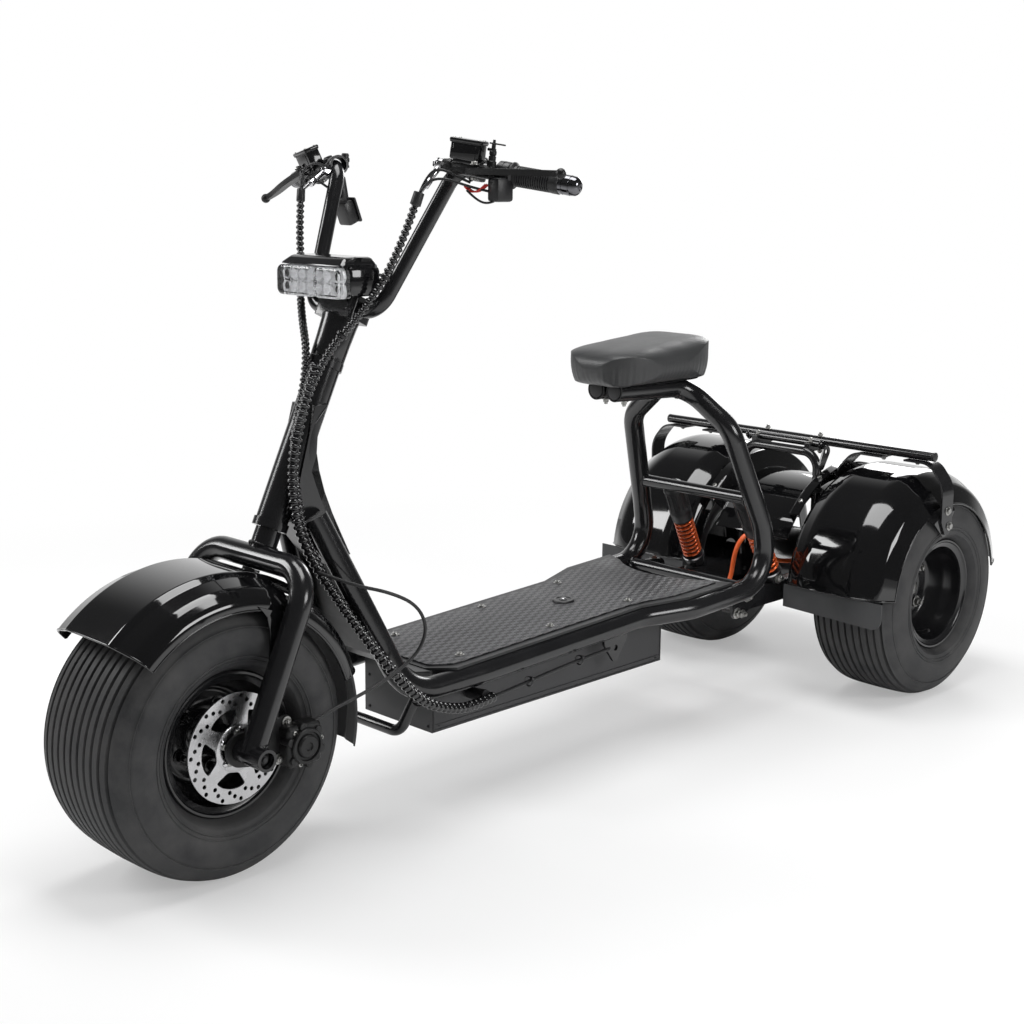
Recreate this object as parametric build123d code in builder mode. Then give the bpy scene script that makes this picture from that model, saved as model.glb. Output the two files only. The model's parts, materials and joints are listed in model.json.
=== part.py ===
"""Electric tricycle: step-through tube frame, one steered front wheel, two rear wheels.

Frame of the model: +X forward, +Y to the rider's left, +Z up, millimetres, ground at z = 0.
"""

from math import cos, pi, radians, sin, tan
import os

from build123d import *

os.makedirs("parts", exist_ok=True)

# ---------------------------------------------------------------- driving dimensions
wheelbase = 1671.0
rear_wheel_y = 279.0
running_gap = 0.05
seat_gap = 0.3
arc_share = 0.45

tyre_radius = 228.6
front_tyre_wall = [(0, 228.6), (72, 227), (98, 217.5), (113, 196), (119.5, 170), (107, 133)]
rear_tyre_wall = [(0, 228.6), (60, 227.6), (84, 216.5), (98, 196), (108, 155), (106, 133)]
tyre_facets = 56
bead_step = 8.0
rim_flange_radius = 120.0
rim_half_width = 87.0
bead_seat_radius = 107.0
bead_seat_width = 26.0
well_radius = 97.0
rim_wall = 4.0
rim_step = 8.0
rim_disc_thickness = 6.0

lug_circle_radius = 55.0
lug_count = 4
lug_nut_dia = 20.0
lug_nut_height = 12.0
hub_dia = 56.0
front_dish_y = 20.0
front_hub_out = 104.0
front_hub_in = 104.0
rear_dish_y = 5.0
rear_hub_out = 14.0
rear_hub_in = 78.0
spindle_dia = 15.0
stub_axle_dia = 25.0
stub_axle_end_y = 304.0

disc_plane_y = 110.0
disc_radius = 91.0
disc_band_inner_radius = 66.0
disc_thickness = 3.0
disc_hub_radius = 34.0
disc_spoke_count = 6
disc_spoke_reach = 70.0
disc_spoke_width = 13.0
disc_hole_dia = 5.0
disc_hole_rows = 12
disc_bolt_count = 5
disc_bolt_circle_radius = 26.0
disc_bolt_head_dia = 8.0
disc_bolt_head_height = 3.0

front_guard_clearance = 45.4
front_guard_half_width = 126.0
front_guard_band_half_width = 62.0
front_guard_skirt = 50.0
guard_wall = 3.0
guard_post_dia = 30.0
front_guard_back_deg = 72.0
front_guard_front_deg = 44.0
front_flap_half_width = 118.0
front_flap_top_deg = 60.0
front_flap_bottom_deg = 103.0
flap_thickness = 3.0

rake_deg = 25.0
fork_offset = 8.2
fork_tube_dia = 40.0
fork_leg_y = 152.0
fork_shoulder_y = 144.0
fork_crown_clearance = 4.0
fork_corner_radius = 62.0
steerer_dia = 30.0
crown_boss_dia = 44.0
sleeve_dia = 36.0
sleeve_inner_y = 117.0
sleeve_outer_y = 192.0
sleeve_mouth_dia = 26.0
sleeve_mouth_depth = 24.0
spindle_head_dia = 21.0
spindle_head_height = 10.0

head_tube_dia = 54.0
head_tube_bore = 44.0
head_tube_bottom = 349.0
head_tube_length = 297.0
headset_cup_length = 14.0
headset_cup_dia = 60.0
headset_gap = 1.0

frame_tube_dia = 42.0
rail_y = 126.0
rail_height = 243.5
rail_height_station = 1139.0
deck_tilt_deg = 2.5
deck_plate_thickness = 5.0
crossbar_dia = 26.0
crossbar_height = 459.0
crossbar_station = 396.0
hoop_mouth_dia = 37.0
hoop_mouth_depth = 45.0
seat_rail_z = 697.0
gusset_half_width = 31.0
kick_plate_thickness = 3.0

guard_tube_dia = 20.0
battery_case_half_width = 92.0
battery_case_bottom = 141.0
battery_case_rear = 606.0
battery_case_front = 1236.0
battery_case_wall = 2.0
battery_margin = 10.0
battery_top = 236.0
case_rise = 3.0

rear_fender_radius = 268.0
rear_fender_inner_y = 136.0
rear_fender_crown_inner_y = 190.0
rear_fender_crown_outer_y = 318.0
rear_fender_outer_y = 364.0
fender_flare = 18.0
fender_skirt_radius = 200.0
fender_front_deg = 84.0
fender_back_deg = 80.0
fender_tab_y = 394.0
rear_flap_station = 252.0
rear_flap_bottom = 195.0
rear_flap_outer_y = 385.0
rear_flap_ear_height = 24.0

bar_tube_dia = 26.0
bar_clamp_rise = 92.0
bar_bottom_half = 88.0
bar_shoulder_y = 152.0
bar_corner_radius = 42.0
grip_line_height = 1001.0
grip_dia = 34.0
grip_start_y = 247.0
grip_end_y = 331.0
bar_end_y = 364.0
bar_end_dia = 32.0
bar_sweep = 0.34

reservoir_length = 64.0
reservoir_depth = 35.0
reservoir_height = 44.0
cylinder_dia = 22.0
cylinder_length = 76.0
bar_ring_dia = 38.0
lever_thickness = 10.0
lever_ball_dia = 17.0

seat_length = 304.0
seat_width = 208.0
seat_station = 586.0
seat_bottom = 724.0
seat_height = 74.0
seat_fall = 26.0
seat_nose_drop = 8.0
seat_corner_radius = 62.0
seat_edge_radius = 26.0

rack_tube_dia = 20.0
rack_bar_half = 363.0
rack_bar_station = 41.5
rack_bar_z = 534.0
rack_hoop_station = 90.0
rack_hoop_z = 514.0
rack_hoop_y = 100.0
rack_tab_hole = (72.0, 517.0)
rack_tab_hole_dia = 11.0
strap_width = 44.0
strap_thickness = 4.0
main_conduit_dia = 16.0
right_conduit_dia = 12.0
brake_hose_dia = 6.0
deck_cable_dia = 7.0
power_lead_dia = 10.0

axle_tube_dia = 60.0
axle_tube_end_y = 150.0
motor_dia = 170.0
motor_half_length = 70.0
swing_arm_y = 100.0
swing_arm_width = 28.0
swing_arm_height = 44.0
pivot_station = 398.0
pivot_z = 232.0
pivot_half_width = 134.0
pivot_tube_dia = 34.0
pivot_plate_thickness = 8.0
shock_head = (352.0, 95.0, 448.0)
shock_foot = (250.0, 108.0, 262.0)
shock_cover_dia = 46.0
shock_cover_length = 92.0
shock_rod_dia = 22.0
shock_eye_dia = 29.0
shock_carrier_dia = 20.0
spring_wire_dia = 7.0
spring_coil_dia = 41.0
spring_turns = 7

front_guard_radius = tyre_radius + front_guard_clearance
fork_crown_height = front_guard_radius + fork_tube_dia / 2 + fork_crown_clearance
head_tube_top = head_tube_bottom + head_tube_length
bar_clamp_height = head_tube_top + bar_clamp_rise
steerer_top = bar_clamp_height - 20.0

# ---------------------------------------------------------------- stations
rear_axle_x = -(wheelbase + tyre_radius - rear_fender_radius * sin(radians(fender_back_deg))) / 2
front_axle_x = rear_axle_x + wheelbase
axle_height = tyre_radius
steer_x = front_axle_x - fork_offset * cos(radians(rake_deg))
steer_z = axle_height - fork_offset * sin(radians(rake_deg))
steering = Plane(
    origin=(steer_x, 0, steer_z),
    x_dir=(cos(radians(rake_deg)), 0, sin(radians(rake_deg))),
    z_dir=(-sin(radians(rake_deg)), 0, cos(radians(rake_deg))),
)


def station(x, y, z):
    """Point given by its distance ahead of the rear axle."""
    return (rear_axle_x + x, y, z)


def rail_z(x):
    """Height of the deck rail's centre line at a distance ahead of the rear axle."""
    return rail_height + (rail_height_station - x) * tan(radians(deck_tilt_deg))


def steered(v, y, u):
    """Point given ahead of the steering axis, to its left and up along it."""
    return tuple(steering.from_local_coords(Vector(v, y, u)))


# ---------------------------------------------------------------- helpers
def bent_tube(points, radii, diameter):
    """Round bar along straight runs joined by tangent arcs."""
    with BuildPart() as tube:
        with BuildLine() as path:
            FilletPolyline(*points, radius=radii)
        with BuildSketch(Plane(origin=path.line @ 0, z_dir=path.line % 0)):
            Circle(diameter / 2)
        sweep(path=path.line)
    return tube.part


def straight_tube(start, end, diameter, bore=0.0):
    """Round bar or tube between two points."""
    first, last = Vector(*start), Vector(*end)
    with BuildPart() as tube:
        with BuildSketch(Plane(origin=first, z_dir=last - first)):
            Circle(diameter / 2)
            if bore:
                Circle(bore / 2, mode=Mode.SUBTRACT)
        extrude(amount=(last - first).length)
    return tube.part


def cord_tube(points, diameter, name):
    """Round cord along short straight runs joined by wide arcs."""
    corners = [Vector(*point) for point in points]
    radii = []
    for before, here, after in zip(corners, corners[1:], corners[2:]):
        run_in, run_out = here - before, after - here
        half_turn = radians(run_in.get_angle(run_out)) / 2
        radii.append(arc_share * min(run_in.length, run_out.length) / tan(half_turn))
    cord = bent_tube(points, radii, diameter)
    length = cord.volume / (pi * diameter**2 / 4)
    print(f"{name}: length {length:.0f} mm, smallest radius {min(radii):.0f} mm")
    return cord


def rounded_block(size, place, radius):
    """Block with every edge rounded, centred on a plane."""
    with BuildPart() as block:
        with BuildSketch(place):
            Rectangle(size[0], size[1])
        extrude(amount=size[2] / 2, both=True)
        fillet(block.edges(), radius=radius)
    return block.part


def mirrored(points):
    """The same points on the other side of the machine."""
    return [(x, -y, z) for x, y, z in points]


def finish(part, name):
    """Label a finished piece and write its file."""
    part.label = name
    export_step(part, f"parts/{name}.step")


def arch(centre_x, outward, profile, bends, wall, back_deg, front_deg):
    """Sheet with a profile of (sideways, radius) corners, swept about a wheel axis over the top."""
    back = radians(back_deg)
    section = Plane(origin=(centre_x, 0, axle_height), x_dir=(0, 1, 0), z_dir=(cos(back), 0, sin(back)))
    with BuildPart() as sheet:
        with BuildSketch(section):
            with BuildLine():
                FilletPolyline(*[(outward * side, radius) for side, radius in profile], radius=bends)
            trace(line_width=wall)
        revolve(axis=Axis((centre_x, 0, axle_height), (0, 1, 0)), revolution_arc=back_deg + front_deg)
    return sheet.part


# ---------------------------------------------------------------- wheels
def tyre_solid(centre_x, centre_y, wall):
    """Wide low-pressure tyre in flat facets, standing on one of them, seated between the rim flanges."""
    sections = [(-y, radius) for y, radius in reversed(wall[1:])] + wall
    turn = 180.0 / tyre_facets
    bead_y = rim_half_width - rim_wall - seat_gap
    with BuildPart() as tyre:
        for y, radius in sections:
            with BuildSketch(Plane(origin=(centre_x, centre_y + y, axle_height), x_dir=(1, 0, 0), z_dir=(0, 1, 0))):
                RegularPolygon(radius, tyre_facets, major_radius=False, rotation=turn)
        loft(ruled=True)
        with BuildSketch(Plane(origin=(centre_x, centre_y, axle_height), x_dir=(1, 0, 0), z_dir=(0, 1, 0))):
            RegularPolygon(bead_seat_radius + seat_gap, tyre_facets, major_radius=False, rotation=turn)
        extrude(amount=bead_y + bead_step, both=True, mode=Mode.SUBTRACT)
        for side in (1, -1):
            bead = Plane(origin=(centre_x, centre_y + side * bead_y, axle_height), x_dir=(1, 0, 0), z_dir=(0, side, 0))
            with BuildSketch(bead):
                RegularPolygon(rim_flange_radius + bead_step, tyre_facets, major_radius=False, rotation=turn)
            extrude(amount=wall[-1][0], mode=Mode.SUBTRACT)
    return tyre.part


def rim_solid(centre_x, centre_y, outward, dish_y, hub_out, hub_in, bore):
    """Pressed rim: flanges, bead seats, stepped well, centre disc, hub tube and lug nuts."""
    wheel = Plane(origin=(centre_x, centre_y, axle_height), x_dir=(0, outward, 0), z_dir=(outward, 0, 0))
    face, back = dish_y + rim_disc_thickness / 2, dish_y - rim_disc_thickness / 2
    flange = rim_half_width - rim_wall
    seat_in = flange - bead_seat_width
    well_out = seat_in - rim_step
    seat, well = bead_seat_radius - rim_wall, well_radius - rim_wall
    outside = [(flange, rim_flange_radius), (flange, bead_seat_radius), (seat_in, bead_seat_radius), (well_out, well_radius)]
    open_side = [
        (rim_half_width, rim_flange_radius),
        (rim_half_width, seat + rim_step),
        (flange, seat),
        (seat_in, seat),
        (well_out, well),
    ]
    with BuildPart() as rim:
        with BuildSketch(wheel):
            with BuildLine():
                Polyline(
                    *outside,
                    *[(-y, radius) for y, radius in reversed(outside)],
                    *[(-y, radius) for y, radius in open_side],
                    (back, well),
                    (back, hub_dia / 2),
                    (-hub_in, hub_dia / 2),
                    (-hub_in, bore / 2),
                    (hub_out, bore / 2),
                    (hub_out, hub_dia / 2),
                    (face, hub_dia / 2),
                    (face, well - rim_step),
                    (face + rim_step, well),
                    *reversed(open_side),
                    close=True,
                )
            make_face()
        revolve(axis=Axis((centre_x, 0, axle_height), (0, 1, 0)))
        nut_seat = Plane(origin=(centre_x, centre_y + outward * face, axle_height), z_dir=(0, outward, 0))
        with BuildSketch(nut_seat):
            with PolarLocations(lug_circle_radius, lug_count):
                RegularPolygon(lug_nut_dia / 2, 6)
        extrude(amount=lug_nut_height)
    return rim.part


finish(tyre_solid(front_axle_x, 0, front_tyre_wall), "front_tyre")
spindle_bore = spindle_dia + 2 * running_gap
finish(rim_solid(front_axle_x, 0, 1, front_dish_y, front_hub_out, front_hub_in, spindle_bore), "front_rim")
stub_bore = stub_axle_dia + 2 * running_gap
for side, name in ((1, "left"), (-1, "right")):
    wheel_y = side * rear_wheel_y
    finish(tyre_solid(rear_axle_x, wheel_y, rear_tyre_wall), f"rear_{name}_tyre")
    rim = rim_solid(rear_axle_x, wheel_y, side, rear_dish_y, rear_hub_out, rear_hub_in, stub_bore)
    finish(rim, f"rear_{name}_rim")

# ---------------------------------------------------------------- brake disc
disc_side = Plane(
    origin=(front_axle_x, disc_plane_y - disc_thickness / 2, axle_height), x_dir=(-1, 0, 0), z_dir=(0, 1, 0)
)
with BuildPart() as brake_disc:
    with BuildSketch(disc_side):
        Circle(disc_radius)
        Circle(disc_band_inner_radius, mode=Mode.SUBTRACT)
        Circle(disc_hub_radius)
        with PolarLocations(disc_spoke_reach / 2, disc_spoke_count):
            Rectangle(disc_spoke_reach, disc_spoke_width)
        Circle(spindle_dia / 2 + running_gap, mode=Mode.SUBTRACT)
        for row in range(3):
            hole_circle = disc_band_inner_radius + (row + 1) * (disc_radius - disc_band_inner_radius) / 4
            with PolarLocations(hole_circle, disc_hole_rows, start_angle=row * 10.0):
                Circle(disc_hole_dia / 2, mode=Mode.SUBTRACT)
    extrude(amount=disc_thickness)
    with BuildSketch(disc_side.offset(disc_thickness)):
        with PolarLocations(disc_bolt_circle_radius, disc_bolt_count):
            Circle(disc_bolt_head_dia / 2)
    extrude(amount=disc_bolt_head_height)
    with BuildSketch(disc_side):
        Circle(disc_hub_radius)
        Circle(spindle_dia / 2 + running_gap, mode=Mode.SUBTRACT)
    extrude(amount=-(disc_plane_y - disc_thickness / 2 - front_hub_out))
finish(brake_disc.part, "brake_disc")

# ---------------------------------------------------------------- fork and steering stem
crown_points = [
    (fork_offset, -fork_leg_y, 0),
    (fork_offset, -fork_shoulder_y, fork_crown_height),
    (fork_offset, fork_shoulder_y, fork_crown_height),
    (fork_offset, fork_leg_y, 0),
]
fork_hoop = bent_tube([steered(*p) for p in crown_points], [fork_corner_radius] * 2, fork_tube_dia)
steerer = straight_tube(steered(0, 0, fork_crown_height), steered(0, 0, steerer_top), steerer_dia)
crown_boss = straight_tube(
    steered(0, 0, fork_crown_height), steered(0, 0, head_tube_bottom - headset_gap), crown_boss_dia
)
with BuildPart() as fork:
    add(fork_hoop)
    add(steerer)
    add(crown_boss)
    for side in (1, -1):
        sleeve_plane = Plane(origin=(front_axle_x, side * sleeve_inner_y, axle_height), z_dir=(0, side, 0))
        with BuildSketch(sleeve_plane):
            Circle(sleeve_dia / 2)
        extrude(amount=sleeve_outer_y - sleeve_inner_y)
        with BuildSketch(sleeve_plane.offset(-sleeve_inner_y)):
            Circle(spindle_dia / 2 + seat_gap)
        extrude(amount=sleeve_outer_y, mode=Mode.SUBTRACT)
        with BuildSketch(sleeve_plane.offset(sleeve_outer_y - sleeve_inner_y - sleeve_mouth_depth)):
            Circle(sleeve_mouth_dia / 2)
        extrude(amount=sleeve_mouth_depth, mode=Mode.SUBTRACT)
finish(fork.part, "fork")

nut_face_y = sleeve_outer_y - sleeve_mouth_depth + seat_gap
with BuildPart() as front_spindle:
    with BuildSketch(Plane(origin=(front_axle_x, 0, axle_height), z_dir=(0, 1, 0))):
        Circle(spindle_dia / 2)
    extrude(amount=nut_face_y + spindle_head_height, both=True)
    for side in (1, -1):
        with BuildSketch(Plane(origin=(front_axle_x, side * nut_face_y, axle_height), z_dir=(0, side, 0))):
            RegularPolygon(spindle_head_dia / 2, 6)
        extrude(amount=spindle_head_height)
finish(front_spindle.part, "front_spindle")

# ---------------------------------------------------------------- front mudguard and flap
guard_mid = front_guard_radius - guard_wall / 2
guard_side_y = front_guard_half_width - guard_wall / 2
guard_corners = [
    (guard_side_y, front_guard_radius - front_guard_skirt),
    (guard_side_y, guard_mid - 34.0),
    (guard_side_y - 18.0, guard_mid - 17.0),
    (front_guard_band_half_width + 11.0, guard_mid - 7.0),
    (front_guard_band_half_width, guard_mid),
]
guard_profile = guard_corners + [(-y, radius) for y, radius in reversed(guard_corners)]
guard_bends = [20, 24, 8, 8, 8, 8, 24, 20]
mudguard_sheet = arch(
    front_axle_x, 1, guard_profile, guard_bends, guard_wall, front_guard_back_deg, front_guard_front_deg
)
guard_post = straight_tube(
    steered(fork_offset, 0, guard_mid),
    steered(fork_offset, 0, fork_crown_height - fork_tube_dia / 2 - seat_gap),
    guard_post_dia,
)
with BuildPart() as front_mudguard:
    add(mudguard_sheet)
    add(guard_post)
finish(front_mudguard.part, "front_mudguard")

flap_drop = guard_wall / 2 + flap_thickness / 2 + 2 * seat_gap + 1.0
flap_corners = [
    (front_flap_half_width, guard_mid - 28.0 - flap_drop),
    (front_guard_half_width - 21.0, guard_mid - 17.0 - flap_drop),
    (front_guard_band_half_width + 10.0, guard_mid - 7.0 - flap_drop),
    (front_guard_band_half_width - 1.0, guard_mid - flap_drop),
]
flap_profile = flap_corners + [(-y, radius) for y, radius in reversed(flap_corners)]
flap_bends = [20, 8, 8, 8, 8, 20]
front_flap = arch(
    front_axle_x, 1, flap_profile, flap_bends, flap_thickness, front_flap_bottom_deg, -front_flap_top_deg
)
finish(front_flap, "front_mudflap")

# ---------------------------------------------------------------- neck, side tubes, hoops
side_points = [
    station(1452, 40, 560),
    station(1318, 118, rail_z(1318) + 2.0),
    station(1150, rail_y, rail_z(1150)),
    station(712, rail_y, rail_z(712)),
    station(600, rail_y + 41.0, rail_z(600)),
    station(350, rail_y + 40.0, rail_z(350)),
    station(372, rail_y + 37.0, 400),
    station(452, rail_y + 5.0, 612),
    station(476, 31, seat_rail_z - 7.0),
    station(690, 24, seat_rail_z),
]
side_radii = [85, 400, 130, 130, 78, 120, 75, 60]
left_tube = bent_tube(side_points, side_radii, frame_tube_dia)
right_tube = bent_tube(mirrored(side_points), side_radii, frame_tube_dia)
for tube, points, name in (
    (left_tube, side_points, "left_frame_tube"),
    (right_tube, mirrored(side_points), "right_frame_tube"),
):
    mouth = Vector(*points[-1])
    inward = Vector(*points[-2]) - mouth
    with BuildPart() as side_tube:
        add(tube)
        with BuildSketch(Plane(origin=mouth, z_dir=inward)):
            Circle(hoop_mouth_dia / 2)
        extrude(amount=hoop_mouth_depth, mode=Mode.SUBTRACT)
    finish(side_tube.part, name)

gusset_rear = [(1412, 742), (1448, 699), (1455, 662), (1445, 619), (1413, 546), (1371, 478)]
gusset_front = [(1371, 478), (1420, 470), (1492, 560), (1440, 742), (1412, 742)]
head_shell = straight_tube(steered(0, 0, head_tube_bottom), steered(0, 0, head_tube_top), head_tube_dia)
with BuildPart() as head_tube:
    with BuildSketch(Plane.XZ):
        with BuildLine():
            Spline(*[(rear_axle_x + x, z) for x, z in gusset_rear])
            Polyline(*[(rear_axle_x + x, z) for x, z in gusset_front])
        make_face()
    extrude(amount=gusset_half_width, both=True)
    add(head_shell)
    for cup in (head_tube_bottom, head_tube_top - headset_cup_length):
        with BuildSketch(steering.offset(cup)):
            Circle(headset_cup_dia / 2)
        extrude(amount=headset_cup_length)
    with BuildSketch(steering.offset(head_tube_bottom)):
        Circle(steerer_dia / 2 + running_gap)
    extrude(amount=head_tube_length, mode=Mode.SUBTRACT)
    with BuildSketch(steering.offset(head_tube_bottom + headset_cup_length)):
        Circle(head_tube_bore / 2)
    extrude(amount=head_tube_length - 2 * headset_cup_length, mode=Mode.SUBTRACT)
    add(left_tube, mode=Mode.SUBTRACT)
    add(right_tube, mode=Mode.SUBTRACT)
finish(head_tube.part, "head_tube")

# ---------------------------------------------------------------- cross tubes and kick plate
with BuildPart() as cross_tubes:
    for x, z in ((crossbar_station, crossbar_height), (560, rail_z(560)), (420, rail_z(420))):
        add(straight_tube(station(x, -rail_y - 36.0, z), station(x, rail_y + 36.0, z), crossbar_dia))
    add(left_tube, mode=Mode.SUBTRACT)
    add(right_tube, mode=Mode.SUBTRACT)
finish(cross_tubes.part, "cross_tubes")

kick_side = [(1418, 500), (1360, 360), (1324, 294), (1290, 269), (1253, 262)]
kick_front = [(0, 510), (48, 510), (80, 396), (100, 313), (106, 287), (106, 250), (0, 250)]
with BuildPart() as kick_plate:
    with BuildSketch(Plane.XZ):
        with BuildLine():
            FilletPolyline(*[(rear_axle_x + x, z) for x, z in kick_side], radius=20)
        trace(line_width=kick_plate_thickness)
    extrude(amount=rail_y, both=True)
    with BuildSketch(Plane(origin=station(1200, 0, 0), x_dir=(0, 1, 0), z_dir=(1, 0, 0))):
        with BuildLine():
            Polyline(*kick_front, close=True)
        make_face()
        mirror(about=Plane.YZ)
    extrude(amount=300, mode=Mode.INTERSECT)
    add(left_tube, mode=Mode.SUBTRACT)
    add(right_tube, mode=Mode.SUBTRACT)
    add(head_tube.part, mode=Mode.SUBTRACT)
kick_sheet = kick_plate.part.solids().sort_by(lambda piece: abs(piece.center().Y))[0]
finish(Part(kick_sheet.wrapped), "kick_plate")

# ---------------------------------------------------------------- guard hoop, deck, battery
guard_points = [
    station(1288, 112, rail_z(1288) - 4.0),
    station(1306, 84, 158),
    station(1306, -84, 158),
    station(1288, -112, rail_z(1288) - 4.0),
]
with BuildPart() as guard_hoop:
    add(bent_tube(guard_points, [30, 30], guard_tube_dia))
    add(left_tube, mode=Mode.SUBTRACT)
    add(right_tube, mode=Mode.SUBTRACT)
finish(guard_hoop.part, "guard_hoop")

tilt = radians(deck_tilt_deg)
deck_datum = Plane(
    origin=station(0, 0, rail_z(0) + (frame_tube_dia / 2 + seat_gap) / cos(tilt)),
    x_dir=(cos(tilt), 0, -sin(tilt)),
    z_dir=(sin(tilt), 0, cos(tilt)),
)
with BuildPart() as deck_plate:
    with BuildSketch(deck_datum):
        with BuildLine():
            Polyline((1252, 0), (1252, 88), (1212, 130), (718, 132), (612, 166), (474, 168), (492, 122))
            ThreePointArc((492, 122), (522, 72), (532, 0))
            Line((532, 0), (1252, 0))
        make_face()
        mirror(about=Plane.XZ)
    extrude(amount=deck_plate_thickness)
    add(left_tube, mode=Mode.SUBTRACT)
    add(right_tube, mode=Mode.SUBTRACT)
finish(deck_plate.part, "deck_plate")

under_deck = frame_tube_dia / 2 - seat_gap


def case_outline(inset):
    """Side outline of the battery case, drawn in by a distance."""
    low, rear, front = battery_case_bottom + inset, battery_case_rear + inset, battery_case_front - inset
    outline = [
        (front, low),
        (front, rail_z(front) + under_deck - inset),
        (rear, rail_z(rear) + under_deck - inset),
        (rear, low + case_rise),
    ]
    return [(rear_axle_x + x, z) for x, z in outline]


with BuildPart() as battery_case:
    with BuildSketch(Plane.XZ):
        with BuildLine():
            Polyline(*case_outline(0.0), close=True)
        make_face()
    extrude(amount=battery_case_half_width, both=True)
    with BuildSketch(Plane.XZ):
        with BuildLine():
            Polyline(*case_outline(battery_case_wall), close=True)
        make_face()
    extrude(amount=battery_case_half_width - battery_case_wall, both=True, mode=Mode.SUBTRACT)
finish(battery_case.part, "battery_case")

case_floor = battery_case_bottom + battery_case_wall + seat_gap
battery_outline = [
    (battery_case_front - battery_margin, case_floor),
    (battery_case_front - battery_margin, battery_top),
    (battery_case_rear + battery_margin, battery_top),
    (battery_case_rear + battery_margin, case_floor + case_rise),
]
with BuildPart() as battery:
    with BuildSketch(Plane.XZ):
        with BuildLine():
            Polyline(*[(rear_axle_x + x, z) for x, z in battery_outline], close=True)
        make_face()
    extrude(amount=battery_case_half_width - battery_margin, both=True)
finish(battery.part, "battery")

# ---------------------------------------------------------------- seat
rail_top = seat_rail_z + frame_tube_dia / 2 + seat_gap
seat_base_front = seat_station + 104.0
with BuildPart() as seat_base:
    with BuildSketch(Plane(origin=station(seat_station - 8.0, 0, rail_top))):
        Rectangle(2 * (seat_base_front - seat_station), 96)
    extrude(amount=seat_bottom - seat_gap - rail_top)
finish(seat_base.part, "seat_base")

seat_rear = rear_axle_x + seat_station - seat_length / 2
seat_front = seat_rear + seat_length
seat_side = [
    (seat_rear, seat_bottom),
    (rear_axle_x + seat_base_front + 2.0, seat_bottom),
    (seat_front, seat_bottom - seat_nose_drop),
    (seat_front, seat_bottom + seat_height - seat_fall),
    (seat_rear, seat_bottom + seat_height),
]
with BuildPart() as seat_cushion:
    with BuildSketch(Plane(origin=station(seat_station, 0, seat_bottom - seat_nose_drop))):
        RectangleRounded(seat_length, seat_width, seat_corner_radius)
    extrude(amount=seat_height + seat_nose_drop)
    with BuildSketch(Plane.XZ):
        with BuildLine():
            Polyline(*seat_side, close=True)
        make_face()
    extrude(amount=seat_width, both=True, mode=Mode.INTERSECT)
    fillet(seat_cushion.faces().sort_by(Axis.Z)[-1].edges(), radius=seat_edge_radius)
finish(seat_cushion.part, "seat_cushion")

# ---------------------------------------------------------------- rear swing frame and axle
with BuildPart() as swing_frame:
    for side in (1, -1):
        arm_end = Plane(
            origin=station(axle_tube_dia / 2 - 2.0, side * swing_arm_y, axle_height), x_dir=(0, 1, 0), z_dir=(1, 0, 0)
        )
        with BuildSketch(arm_end):
            Rectangle(swing_arm_width, swing_arm_height)
        extrude(amount=pivot_station - axle_tube_dia / 2 + 2.0)
    pivot_ends = [station(pivot_station, side * pivot_half_width, pivot_z) for side in (-1, 1)]
    add(straight_tube(*pivot_ends, pivot_tube_dia))


def across_axle(half_length, diameter):
    """Round bar centred on the rear axle line."""
    return straight_tube(station(0, -half_length, axle_height), station(0, half_length, axle_height), diameter)


axle_nut_y = rear_wheel_y + rear_hub_out + 0.5
with BuildPart() as rear_axle:
    add(across_axle(axle_tube_end_y, axle_tube_dia))
    add(across_axle(motor_half_length, motor_dia))
    add(across_axle(rear_wheel_y - rear_hub_in - 4.0, stub_axle_dia + 14.0))
    add(across_axle(stub_axle_end_y + 4.0, stub_axle_dia))
    for side in (1, -1):
        with BuildSketch(Plane(origin=station(0, side * axle_nut_y, axle_height), z_dir=(0, side, 0))):
            RegularPolygon(20, 6)
        extrude(amount=stub_axle_end_y - axle_nut_y)
with BuildPart() as swing_arm:
    add(swing_frame.part)
    add(rear_axle.part, mode=Mode.SUBTRACT)
finish(swing_arm.part, "swing_arm")
finish(rear_axle.part, "rear_axle")

# ---------------------------------------------------------------- shock absorbers and coil springs
shock_clip = 18.0
with BuildPart() as shock_absorbers:
    for side in (1, -1):
        top = Vector(*station(shock_head[0], side * shock_head[1], shock_head[2]))
        foot = Vector(*station(shock_foot[0], side * shock_foot[1], shock_foot[2]))
        down = (foot - top).normalized()
        add(straight_tube(top, top + down * shock_cover_length, shock_cover_dia))
        add(straight_tube(top, foot, shock_rod_dia))
        add(straight_tube(foot - down * shock_clip, foot - down * (shock_clip - 6.0), shock_cover_dia))
        eye = [foot + Vector(0, reach, 0) for reach in (-14.0, 14.0)]
        add(straight_tube(*eye, shock_eye_dia))
        carrier = station(crossbar_station, side * shock_head[1], crossbar_height)
        add(straight_tube(top, carrier, shock_carrier_dia))
    add(cross_tubes.part, mode=Mode.SUBTRACT)
    add(swing_arm.part, mode=Mode.SUBTRACT)
finish(shock_absorbers.part, "shock_absorbers")

with BuildPart() as shock_springs:
    for side in (1, -1):
        top = Vector(*station(shock_head[0], side * shock_head[1], shock_head[2]))
        foot = Vector(*station(shock_foot[0], side * shock_foot[1], shock_foot[2]))
        down = (foot - top).normalized()
        inset = spring_wire_dia / 2 + seat_gap
        first = top + down * (shock_cover_length + inset)
        height = (foot - down * (shock_clip + inset) - first).length
        with BuildLine():
            coil = Helix(
                pitch=height / spring_turns,
                height=height,
                radius=(spring_coil_dia - spring_wire_dia) / 2,
                center=first,
                direction=down,
            )
        with BuildSketch(Plane(origin=coil @ 0, z_dir=coil % 0)):
            Circle(spring_wire_dia / 2)
        sweep(path=coil, is_frenet=True)
finish(shock_springs.part, "shock_springs")

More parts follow.
